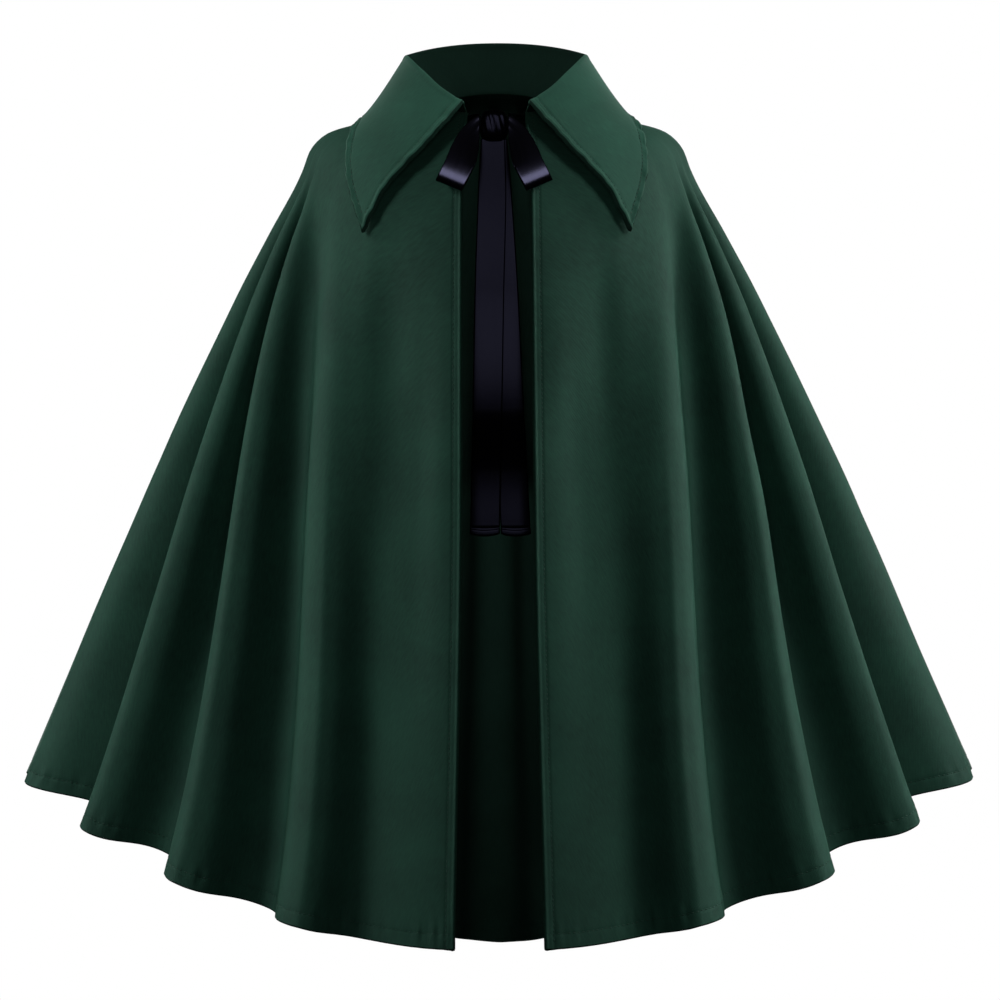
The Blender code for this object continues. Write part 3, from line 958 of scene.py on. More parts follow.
@dataclass
class CapePanel:
    """One panel of the cape, with its turned hem, its front edge and its creases."""

    name: str
    first: float
    last: float
    front_edge: Side | None
    cut: Cut
    creases: tuple[Crease, ...]
    columns_per_fold: int = 54
    row_step: float = 0.0058
    cloth: float = 0.0013
    length: float = 0.735
    hem: float = 0.0115
    hem_rows: tuple[float, ...] = (
        0.0, 0.0008, 0.002, 0.004, 0.006, 0.008, 0.0095, 0.0105, 0.0115, 0.0125, 0.0135, 0.0155, 0.019, 0.023,
    )
    edge_columns: int = 40
    edge_phase: float = 0.2
    edge_stitch: float = 0.0070
    edge_bead: float = 0.0010
    edge_bead_width: float = 0.0012
    turned: float = 0.0006
    turned_fade: float = 0.002
    dimple: float = 0.00045
    dimple_width: float = 0.0012
    pucker: float = 0.0014
    pucker_step: float = 0.0125
    pucker_fade: float = 0.0085
    pucker_seed: float = 2.0
    pucker_group: float = 7.0
    pucker_group_seed: float = 5.0
    pucker_mean: float = 0.55
    pucker_change: float = 0.45
    edge_pucker: float = 0.0004
    edge_pucker_step: float = 0.017
    edge_pucker_seed: float = 1.0
    unevenness: float = 0.0011
    uneven_start: float = 0.1
    uneven_fade: float = 0.3
    uneven_waves: tuple[tuple[float, float], ...] = ((1.3, 0.9), (-0.25, 3.1))

    def shares(self) -> np.ndarray:
        """Space the rows, close together at the stitched hem.

        Returns:
            Shares of the way from the neck to the hem.
        """
        hem = np.array(self.hem_rows)
        rest = np.linspace(hem[-1], self.length, int((self.length - hem[-1]) / self.row_step) + 1)[1:]
        return 1.0 - np.concatenate([hem, rest])[::-1] / self.length

    def phases(self) -> np.ndarray:
        """Space the columns, close together at the stitched front edge.

        Returns:
            Phases of the folds along the panel.
        """
        wide = self.last - self.first
        if self.front_edge is None:
            return np.linspace(self.first, self.last, int(wide * self.columns_per_fold) + 1)
        edge = np.linspace(0.0, self.edge_phase, self.edge_columns)[:-1]
        rest = int((wide - self.edge_phase) * self.columns_per_fold) + 1
        from_edge = np.concatenate([edge, np.linspace(self.edge_phase, wide, rest)])
        return self.first + from_edge if self.front_edge is Side.LEFT else self.last - from_edge[::-1]

    def crease_height(self, phase: np.ndarray, share: np.ndarray) -> np.ndarray:
        """Add up the creases and the cloth's slight unevenness.

        Args:
            phase: columns.
            share: rows.

        Returns:
            How far each point moves out.
        """
        height = np.zeros(np.broadcast(phase, share).shape)
        for crease in self.creases:
            run = np.clip((share - crease.top) / (crease.bottom - crease.top), 0.0, 1.0)
            middle = crease.phase + crease.drift * run
            height = height + crease.height * np.sin(math.pi * run) * hump(phase, middle, crease.width)
        slow = 1.0
        for (by_fold, by_length), seed in zip(self.uneven_waves, (self.first, self.last)):
            slow = slow * wander(phase * by_fold + share * by_length, seed)
        return height + self.unevenness * slow * ease((share - self.uneven_start) / self.uneven_fade)

    def build(self, form: CapeForm, sides: Sides, thread: bpy.types.Material) -> list[bpy.types.Object]:
        """Make the panel and its stitching.

        Args:
            form: the form that the cape hangs in.
            sides: the cloth's finishes.
            thread: the stitching's finish.

        Returns:
            The panel, then its stitching.
        """
        share, phase = self.shares()[:, None], self.phases()[None, :]
        middle = form.point(phase, share)
        from_hem = np.broadcast_to((1.0 - share) * self.length, middle.shape[:2])
        along = run_along(middle, 1)
        hem_wave = wander(along[-1:] / self.pucker_step, self.pucker_seed + self.first)
        groups = wander(along[-1:] / (self.pucker_group * self.pucker_step), self.pucker_group_seed)
        strength = self.pucker_mean + self.pucker_change * groups
        move = self.crease_height(phase, share)
        move = move + self.pucker * hem_wave * strength * hump(from_hem, self.hem, self.pucker_fade)
        outer = np.full(middle.shape[:2], self.cloth / 2.0)
        inner = outer + self.turned * ease((self.hem + self.turned_fade - from_hem) / self.turned_fade)
        outer = outer - self.dimple * hump(from_hem, self.hem, self.dimple_width)
        if self.front_edge is not None:
            from_edge = along if self.front_edge is Side.LEFT else along[:, -1:] - along
            edge_wave = wander(share * self.length / self.edge_pucker_step, self.edge_pucker_seed + self.last)
            move = move + self.edge_pucker * edge_wave * hump(from_edge, self.edge_stitch, self.edge_stitch)
            outer = outer - self.dimple * hump(from_edge, self.edge_stitch, self.dimple_width)
            outer = outer + self.edge_bead * hump(from_edge, self.edge_bead_width, self.edge_bead_width)
            turn_start = self.edge_stitch + self.turned_fade
            inner = inner + self.turned * ease((turn_start - from_edge) / self.turned_fade)
        middle = middle + grid_normals(middle) * move[..., None]
        cut = self.on_cut(phase, share)
        # The neck and hem rims wear the wrong side's darker finish: painted shade along the neck and a
        # painted shadow line along the hem.
        piece = cloth_shell(f"{self.name}_cloth", middle, outer, inner, cut, sides, shaded_rims=(0, -1))
        face = middle + grid_normals(middle) * outer[..., None]
        seams = [seam_at(face, self.hem, from_hem, 0)]
        if self.front_edge is not None:
            seams.append(seam_at(face, self.edge_stitch, from_edge, 1))
        stitching = Stitching().sew(f"{self.name}_stitching", seams, thread)
        for thing in (piece, stitching):
            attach(thing, "root")
        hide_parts(self.name)
        return [piece, stitching]

    def on_cut(self, phase: np.ndarray, share: np.ndarray) -> np.ndarray:
        """Find each point's place on the flat cut, where the threads run straight.

        Args:
            phase: columns.
            share: rows.

        Returns:
            Places in metres.
        """
        turn = np.radians((phase - self.first) / (self.last - self.first) - 0.5) * self.cut.degrees
        radius = self.cut.neck_radius + (self.cut.hem_radius - self.cut.neck_radius) * share
        return np.stack([radius * np.sin(turn), -radius * np.cos(turn)], axis=-1)


class CollarStation(NamedTuple):
    """A station along half of the collar, from its front end to the middle of the back."""

    place: str
    neck_degrees: float
    rise: float
    lean: float
    edge_degrees: float
    edge_share: float
    edge_lift: float


@dataclass
class Collar:
    """The turned-down collar: a stand, a roll and a fall that ends in two points."""

    stations: tuple[CollarStation, ...] = (
        CollarStation("front end and point", 24.5, 0.009, 0.008, 39.8, 0.206, 0.0060),
        CollarStation("leaf", 40.0, 0.018, 0.011, 52.0, 0.151, 0.0045),
        CollarStation("front of the neck", 58.0, 0.030, 0.0125, 66.0, 0.109, 0.0035),
        CollarStation("side of the neck", 90.0, 0.043, 0.0150, 90.0, 0.072, 0.0030),
        CollarStation("back of the neck", 135.0, 0.047, 0.017, 133.0, 0.062, 0.0030),
        CollarStation("middle of the back", 180.0, 0.0475, 0.018, 180.0, 0.055, 0.0030),
    )
    cloth: float = 0.0018
    panel_cloth: float = 0.0015
    seam_gap: float = 0.0005
    roll_arm: float = 0.006
    roll_share: float = 0.4
    lift_power: float = 0.5
    slope_step: float = 0.001
    end_columns: int = 30
    end_place: float = 0.12
    columns: int = 90
    stand_rows: int = 14
    roll_rows: int = 14
    fall_rows: int = 46
    edge_rows: int = 18
    edge_band: float = 0.16
    stitch_in: float = 0.0062
    edge_swell: float = 0.0005
    edge_swell_fade: float = 0.002
    edge_bead: float = 0.0012
    edge_bead_width: float = 0.0014
    edge_under: float = 0.0024
    edge_under_width: float = 0.0045
    dimple: float = 0.0005
    dimple_width: float = 0.0012
    edge_wave: float = 0.0009
    edge_wave_step: float = 0.021
    edge_wave_seeds: tuple[float, float] = (3.0, 7.0)
    edge_wave_widths: tuple[float, float] = (0.010, 0.008)
    edge_wave_width: float = 0.012
    edge_wave_mean: float = 0.4
    flat: tuple[float, float] = (0.62, 0.125)
    area: float = 0.0625
    half_length: float = 0.27

    def places(self) -> np.ndarray:
        """Space the columns, close together at the front ends.

        Returns:
            Places from 0 at the left front end, through 1 at the back, to 2 at the right one.
        """
        end = np.linspace(0.0, self.end_place, self.end_columns)[:-1]
        half = np.concatenate([end, np.linspace(self.end_place, 1.0, self.columns)])
        return np.concatenate([half, 2.0 - half[-2::-1]])

    def column(self, field: str, places: np.ndarray) -> np.ndarray:
        """Read one column of the stations, mirrored on the right half."""
        half = np.linspace(0.0, 1.0, len(self.stations))
        return smooth_curve(half, [getattr(row, field) for row in self.stations], 1.0 - np.abs(1.0 - places))

    def grid(self, form: CapeForm, places: np.ndarray) -> np.ndarray:
        """Find the collar's points up the stand, over the roll and down the fall.

        Args:
            form: the cape that it lies on.
            places: columns.

        Returns:
            A grid of points.
        """
        neck, edge = (
            np.where(places > 1.0, FULL_DEGREES - half, half)
            for half in (self.column("neck_degrees", places), self.column("edge_degrees", places))
        )
        edge_share, lift = self.column("edge_share", places), self.column("edge_lift", places)
        rim = form.unfolded(neck, np.zeros_like(neck))
        outward = unit(rim * (1.0, 1.0, 0.0))
        down_cape = unit(form.unfolded(neck, np.full_like(neck, self.slope_step)) - rim)
        start = rim - down_cape * (self.cloth / 2.0 + self.seam_gap)
        start = start - form.unfolded_normal(neck, np.zeros_like(neck)) * self.panel_cloth / 2.0
        rise = self.column("rise", places)[:, None] * (0.0, 0.0, 1.0)
        lean = self.column("lean", places)[:, None] * outward
        roll = rim + rise + lean

        def fall(share: np.ndarray) -> np.ndarray:
            """Find a line of points on the fall.

            Args:
                share: 0 at the roll, 1 at the edge.

            Returns:
                The points, one for each column.
            """
            degrees = neck + (edge - neck) * share
            cape_share = edge_share * share
            clear = (lift * share**self.lift_power)[:, None]
            on_cape = form.unfolded(degrees, cape_share) + form.unfolded_normal(degrees, cape_share) * clear
            return on_cape + (rise + lean) * np.broadcast_to(1.0 - share, neck.shape)[:, None]

        stand_length = np.linalg.norm(roll - start, axis=-1)
        arm = np.minimum(self.roll_arm, self.roll_share * stand_length)[:, None]
        before = roll - unit(roll - start) * arm
        after_share = self.roll_arm / np.linalg.norm(fall(1.0) - roll, axis=-1)
        after = fall(after_share)
        bend = 2.0 * roll - 0.5 * (before + after)
        lines = [start + (before - start) * t for t in np.linspace(0.0, 1.0, self.stand_rows + 1)[:-1]]
        for t in np.linspace(0.0, 1.0, self.roll_rows + 1)[:-1]:
            lines.append(before * (1 - t) ** 2 + 2 * bend * t * (1 - t) + after * t**2)
        inside = np.linspace(0.0, 1.0 - self.edge_band, self.fall_rows + 1)[:-1]
        for t in np.concatenate([inside, np.linspace(1.0 - self.edge_band, 1.0, self.edge_rows)]):
            lines.append(fall(after_share + (1.0 - after_share) * t))
        return np.stack(lines)

    def build(self, form: CapeForm, sides: Sides, thread: bpy.types.Material) -> list[bpy.types.Object]:
        """Make the collar and its edge stitching.

        Args:
            form: the cape that it lies on.
            sides: the cloth's finishes.
            thread: the stitching's finish.

        Returns:
            The collar, then its stitching.
        """
        places = self.places()
        middle = self.grid(form, places)
        along, down = run_along(middle, 1), run_along(middle, 0)
        from_end = np.minimum(along, along[:, -1:] - along)
        from_edge = down[-1:] - down
        on_fall = ease((np.arange(len(middle)) - self.stand_rows) / self.roll_rows)[:, None]
        near = np.minimum(from_end, from_edge)
        waves = zip((down, along), (from_end, from_edge), self.edge_wave_seeds, self.edge_wave_widths)
        wave = sum(
            wander(run / self.edge_wave_step, seed) * hump(distance, 0.0, width)
            for run, distance, seed, width in waves
        )
        wave = (self.edge_wave_mean + wave) * hump(near, 0.0, self.edge_wave_width)
        middle = middle + grid_normals(middle) * (self.edge_wave * wave * on_fall)[..., None]
        swell_start = self.stitch_in + self.edge_swell_fade / 2.0
        swell = self.edge_swell * ease((swell_start - near) / self.edge_swell_fade) * on_fall
        dimple = self.dimple * hump(near, self.stitch_in, self.dimple_width) * on_fall
        outer = self.cloth / 2.0 + swell - dimple
        outer = outer + self.edge_bead * hump(near, self.edge_bead_width, self.edge_bead_width) * on_fall
        # The underside thickens at the front ends, which widens their dark rim, a painted shadow under the
        # points.
        inner = self.cloth / 2.0 + self.edge_under * hump(from_end, 0.0, self.edge_under_width) * on_fall
        cut = np.stack([np.broadcast_to(places * self.half_length, down.shape), down], axis=-1)
        # The stand's neck-facing side, its foot and the rims of the fall wear the wrong side's darker finish:
        # painted shade inside the collar and a painted shadow line along the fall's edges and points.
        shaded_stand = self.stand_rows + self.roll_rows // 2
        shaded_rims = (0, *range(shaded_stand, len(middle)))
        piece = cloth_shell("collar_cloth", middle, outer, inner, cut, sides, shaded_stand, shaded_rims)
        face = middle + grid_normals(middle) * outer[..., None]
        stitching = Stitching().sew("collar_stitching", self.edge_seams(face, from_edge, along), thread)
        for thing in (piece, stitching):
            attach(thing, "root")
        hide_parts("collar")
        return [piece, stitching]

    def edge_seams(self, face: np.ndarray, from_edge: np.ndarray, along: np.ndarray) -> list[Seam]:
        """Find the stitch lines beside the collar's front ends and its long edge.

        Args:
            face: the collar's right side.
            from_edge: distance from the long edge.
            along: distance from the left front end.

        Returns:
            Three lines.
        """
        fall = slice(self.stand_rows + self.roll_rows, None)
        lines = []
        for measure in (along[fall], along[fall][:, -1:] - along[fall]):
            line = seam_at(face[fall], self.stitch_in, measure, 1)
            to_edge = []
            for row, edge in zip(measure, from_edge[fall]):
                order = np.argsort(row)
                to_edge.append(np.interp(self.stitch_in, row[order], edge[order]))
            keep = np.array(to_edge) >= self.stitch_in
            lines.append(Seam(line.points[keep], line.normals[keep]))
        across = seam_at(face[fall], self.stitch_in, from_edge[fall], 0)
        reach = along[-1]
        keep = (reach >= self.stitch_in) & (reach <= reach[-1] - self.stitch_in)
        lines.append(Seam(across.points[keep], across.normals[keep]))
        return lines


class TailLevel(NamedTuple):
    """A level of a ribbon tail: its middle's distance from the knot's, half width and swing."""

    place: str
    height: float
    spread: float
    half_width: float
    swing: float


class LoopEdge(NamedTuple):
    """One edge of a bow loop, seen from the front, measured out and up from the knot's middle."""

    start: tuple[float, float]
    bend: tuple[float, float]
    end: tuple[float, float]

    def moved(self, by: np.ndarray) -> "LoopEdge":
        """The edge with its end moved."""
        return self._replace(end=tuple(np.add(self.end, by)))

    def at(self, share: np.ndarray) -> np.ndarray:
        """Find points of the edge.

        Args:
            share: 0 at the start, 1 at the end.

        Returns:
            The points, out and up.
        """
        t = share[:, None]
        start, bend, end = (np.array(place) for place in self)
        return start * (1 - t) ** 2 + 2 * bend * t * (1 - t) + end * t**2


@dataclass
class RibbonBow:
    """The ribbon tie: two short ties from the neck, a knot, two loops and two long tails."""

    ribbon: float = 0.0008
    width: float = 0.025
    knot_length: float = 0.044
    knot_middle: tuple[float, float, float] = (-0.002, -0.083, -0.029)
    knot_half: tuple[float, float, float] = (0.0125, 0.0065, 0.0142)
    knot_squareness: float = 0.68
    knot_turns: int = 96
    knot_levels: int = 64
    knot_pleat: float = 0.0005
    knot_pleat_slant: float = 0.25
    knot_pleat_step: float = 0.0075
    knot_pleat_seed: float = 1.3
    loop_length: float = 0.145
    outer_edge: LoopEdge = LoopEdge((0.0128, 0.0095), (0.0300, 0.0020), (0.0470, -0.0450))
    inner_edge: LoopEdge = LoopEdge((0.0128, -0.0115), (0.0135, -0.0330), (0.0250, -0.0550))
    loop_root: float = 0.0013
    loop_turn: float = 0.0072
    loop_reach: float = 0.0210
    loop_lift: float = 0.0095
    loop_forward: float = 0.0022
    loop_rows: int = 40
    loop_steps: int = 60
    loop_turn_steps: int = 28
    loop_pleat: float = 0.0002
    loop_pleats: float = 2.6
    loop_pleat_shift: float = 0.6
    tail: tuple[TailLevel, ...] = (
        TailLevel("under the knot", -0.0405, 0.0010, 0.0100, 0.0000),
        TailLevel("bow", -0.0900, 0.0025, 0.0120, 0.0004),
        TailLevel("chest", -0.1700, 0.0060, 0.0125, -0.0010),
        TailLevel("crease", -0.2760, 0.0095, 0.0125, -0.0050),
        TailLevel("below the crease", -0.3300, 0.0115, 0.0125, 0.0010),
        TailLevel("free end", -0.3850, 0.0135, 0.0125, -0.0010),
    )
    tail_rows: int = 300
    tail_columns: int = 32
    tail_curl: float = 0.0005
    tail_drift: float = 0.0040
    tail_layer: float = 0.0016
    tail_hem: float = 0.006
    tail_hem_layer: float = 0.0004
    tail_hem_fade: float = 0.001
    tail_hem_groove: float = 0.0006
    tail_hem_width: float = 0.0009
    tail_end_round: float = 0.0020
    tie_flat: tuple[float, float] = (0.018, 0.014)
    tie_shares: tuple[float, float] = (0.003, 0.024)
    tie_knot_back: float = 0.0035
    tie_knot_heights: tuple[float, float] = (0.0115, -0.006)
    tie_steps: int = 24
    tie_rows: int = 20
    edge_gap: float = 0.0003
    slope_step: float = 0.001

    def build(self, form: CapeForm, material: bpy.types.Material) -> list[bpy.types.Object]:
        """Make the knot, ties, loops and tails.

        Args:
            form: the cape that they lie on.
            material: the ribbon's finish.

        Returns:
            The pieces.
        """
        pieces = [self.knot(material)]
        for side in Side:
            pieces.append(self.tie(form, side, material))
            pieces.append(self.loop(form, side, material))
            pieces.append(self.hang(side, material))
        for piece in pieces:
            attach(piece, "root")
            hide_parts(piece.name.removesuffix(SATIN_PIECE))
        return pieces

    def shell(self, name: str, middle: np.ndarray, material: bpy.types.Material) -> bpy.types.Object:
        """Make a length of ribbon.

        Args:
            name: the piece's name.
            middle: a grid of points, its rows across and its columns along.
            material: the finish.

        Returns:
            The ribbon.
        """
        half = np.full(middle.shape[:2], self.ribbon / 2.0)
        cut = np.stack([run_along(middle, 0), run_along(middle, 1)], axis=-1)
        return cloth_shell(name, middle, half, half, cut, Sides(material, material))

    def knot(self, material: bpy.types.Material) -> bpy.types.Object:
        """Make the knot: the ribbon wound over itself, pleated where it is pulled tight.

        Args:
            material: the finish.

        Returns:
            The knot.
        """
        turn = TURN * np.arange(self.knot_turns)[None, :] / self.knot_turns
        level = math.pi * (np.arange(1, self.knot_levels)[:, None] / self.knot_levels - 0.5)

        def squared(value: np.ndarray) -> np.ndarray:
            """A sine or cosine pushed towards one or minus one, which flattens the knot's sides."""
            return np.sign(value) * np.abs(value) ** self.knot_squareness

        girth = squared(np.cos(level))
        across, forward = girth * squared(np.cos(turn)), girth * squared(np.sin(turn))
        height = np.broadcast_to(squared(np.sin(level)), across.shape)
        rings = np.stack([across, forward, height], axis=-1) * self.knot_half
        slant = rings[..., 0] + self.knot_pleat_slant * rings[..., 2]
        pleats = wander(slant / self.knot_pleat_step, self.knot_pleat_seed)
        pleats = pleats * np.clip(-forward, 0.0, 1.0) * girth
        rings[..., 1] -= self.knot_pleat * pleats
        poles = np.array([(0.0, 0.0, -1.0), (0.0, 0.0, 1.0)]) * self.knot_half
        corners = np.concatenate([rings.reshape(-1, 3), poles]) + self.knot_middle
        number = np.arange(rings.shape[0] * rings.shape[1]).reshape(rings.shape[:2])
        there = np.roll(number, -1, axis=1)
        walls = np.stack([number[:-1], there[:-1], there[1:], number[1:]], axis=-1).reshape(-1, 4)
        bottom, top = len(corners) - 2, len(corners) - 1
        even = np.arange(0, self.knot_turns, 2)
        after = (even + 2) % self.knot_turns
        low, high = number[0], number[-1]
        floor = np.stack([np.full_like(even, bottom), low[after], low[even + 1], low[even]], axis=-1)
        roof = np.stack([np.full_like(even, top), high[even], high[even + 1], high[after]], axis=-1)
        quads = np.concatenate([walls, floor, roof])
        piece = quad_object(f"ribbon_knot{SATIN_PIECE}", corners, quads, corners[:, [0, 2]], (material,))
        return piece

    def loop(self, form: CapeForm, side: Side, material: bpy.types.Material) -> bpy.types.Object:
        """Make a bow loop: the ribbon runs out from the knot, turns and comes back behind itself.

        Args:
            form: the cape that it lies on.
            side: the wearer's side.
            material: the finish.

        Returns:
            The loop.
        """
        run = np.linspace(0.0, 1.0, self.loop_steps + 1)
        opening = self.loop_root + (self.loop_turn - self.loop_root) * ease(run)
        turn = np.linspace(0.0, math.pi, self.loop_turn_steps + 1)[1:-1]
        share = np.concatenate([run, np.ones_like(turn), run[::-1]])
        beyond = np.concatenate([np.zeros_like(run), self.loop_reach * np.sin(turn), np.zeros_like(run)])
        height = np.concatenate([opening, self.loop_turn * np.cos(turn), -opening[::-1]])
        across = unit(np.subtract(self.outer_edge.end, self.inner_edge.end))
        way = np.array([across[1], -across[0]])
        back = way * (self.loop_turn - self.loop_reach)
        outer, inner = (edge.moved(back).at(share) for edge in (self.outer_edge, self.inner_edge))
        rows = np.linspace(0.0, 1.0, self.loop_rows)[:, None]
        flat = outer + (inner - outer) * rows[..., None] + beyond[:, None] * way
        x = self.knot_middle[0] + side.value * flat[..., 0]
        z = self.knot_middle[2] + flat[..., 1]
        root = self.knot_middle[1] - self.loop_forward
        rests = np.stack([outer[self.loop_steps], inner[self.loop_steps], (outer[0] + inner[0]) / 2.0])
        lying = form.front_surface(
            self.knot_middle[0] + side.value * rests[:2, 0], self.knot_middle[2] + rests[:2, 1]
        )
        depths = np.append(lying - self.loop_lift, root)
        tilt = np.linalg.solve(np.column_stack([np.ones(len(rests)), rests]), depths)
        waves = np.sin(TURN * self.loop_pleats * rows + self.loop_pleat_shift)
        pleat = self.loop_pleat * (1.0 - share) ** 2 * waves
        y = tilt[0] + flat @ tilt[1:] - height - pleat * np.sign(height)
        middle = np.stack([x, y, z], axis=-1)
        if side is Side.RIGHT:
            middle = middle[:, ::-1]
        piece = self.shell(f"bow_loop_{side.word}{SATIN_PIECE}", middle, material)
        return piece

    def hang(self, side: Side, material: bpy.types.Material) -> bpy.types.Object:
        """Make a ribbon tail from the knot to its hemmed free end.

        Args:
            side: the wearer's side.
            material: the finish.

        Returns:
            The tail.
        """
        levels = [-row.height for row in self.tail]
        depth = np.linspace(levels[0], levels[-1], self.tail_rows + 1)
        spread, half_width, swing = (
            smooth_curve(levels, [getattr(row, field) for row in self.tail], depth)
            for field in ("spread", "half_width", "swing")
        )
        across = np.linspace(-1.0, 1.0, self.tail_columns)[None, :]
        drift = self.tail_drift * (depth - levels[0]) / (levels[-1] - levels[0])
        x = self.knot_middle[0] + (drift + side.value * spread)[:, None] + half_width[:, None] * across
        y = self.knot_middle[1] + swing[:, None] + side.value * self.tail_layer + self.tail_curl * across**2
        near_end = ease((depth - levels[-1] + 2.0 * self.tail_hem) / (2.0 * self.tail_hem))[:, None]
        z = self.tail_end_round * near_end * across**2 - depth[:, None]
        middle = np.stack([x, y, z], axis=-1)
        half = np.full(middle.shape[:2], self.ribbon / 2.0)
        turned = self.tail_hem_layer * ease((depth - levels[-1] + self.tail_hem) / self.tail_hem_fade)
        groove = self.tail_hem_groove * hump(depth, levels[-1] - self.tail_hem, self.tail_hem_width)
        outer = half + (turned - groove)[:, None]
        name = f"ribbon_tail_{side.word}{SATIN_PIECE}"
        cut = np.stack([x, z], axis=-1)
        piece = cloth_shell(name, middle, outer, half, cut, Sides(material, material))
        return piece

    def tie(self, form: CapeForm, side: Side, material: bpy.types.Material) -> bpy.types.Object:
        """Make the ribbon from a front corner of the neck to the knot, pinched where it goes in.

        Args:
            form: the cape that it is sewn to.
            side: the wearer's side.
            material: the finish.

        Returns:
            The tie.
        """
        shares = np.linspace(*self.tie_shares, self.tie_rows)
        phase = 0.0 if side is Side.LEFT else form.last_phase
        inside = form.point(abs(phase - self.slope_step), shares) - form.point(phase, shares)
        corner = form.point(phase, shares) - unit(inside) * self.edge_gap
        beside = self.knot_middle[0] + side.value * (self.knot_half[0] + self.edge_gap)
        behind = self.knot_middle[1] + self.tie_knot_back
        heights = self.knot_middle[2] + np.linspace(*self.tie_knot_heights, self.tie_rows)
        knot_end = np.stack([np.full_like(heights, beside), np.full_like(heights, behind), heights], axis=-1)
        run = np.linspace(0.0, 1.0, self.tie_steps + 1)[None, :, None]
        middle = corner[:, None] + (knot_end - corner)[:, None] * run
        if side is Side.LEFT:
            middle = middle[:, ::-1]
        piece = self.shell(f"neck_tie_{side.word}{SATIN_PIECE}", middle, material)
        return piece


RIBBON = ("ribbon", "bow_loop", "neck_tie")
CLOTH = ("front_panel", "back_panel", "collar")
CLOTH_AND_FLOOR = (*CLOTH, "studio_floor")
LEFT, RIGHT = Side.LEFT.word, Side.RIGHT.word


class SoftBox(NamedTuple):
    """A studio light with a diffuser and a grid, and the pieces that black flags keep it off.

    A light's left is the camera's, and a piece's left is the wearer's: the left key is flagged off
    the panel on the far side.
    """

    name: str
    place: tuple[float, float, float]
    aim: tuple[float, float, float]
    size: tuple[float, float]
    watts: float
    beam_degrees: float
    flagged: tuple[str, ...]
    paired: bool = False

    def pair(self) -> tuple["SoftBox", ...]:
        """Mirror the light where it is the left one of a pair.

        Returns:
            The light, and the right one of its pair.
        """
        if not self.paired:
            return (self,)
        right = self._replace(
            name=self.name.replace(LEFT, RIGHT),
            place=(-self.place[0], *self.place[1:]),
            aim=(-self.aim[0], *self.aim[1:]),
            flagged=tuple(piece.replace(LEFT, RIGHT) for piece in self.flagged),
        )
        return self, right


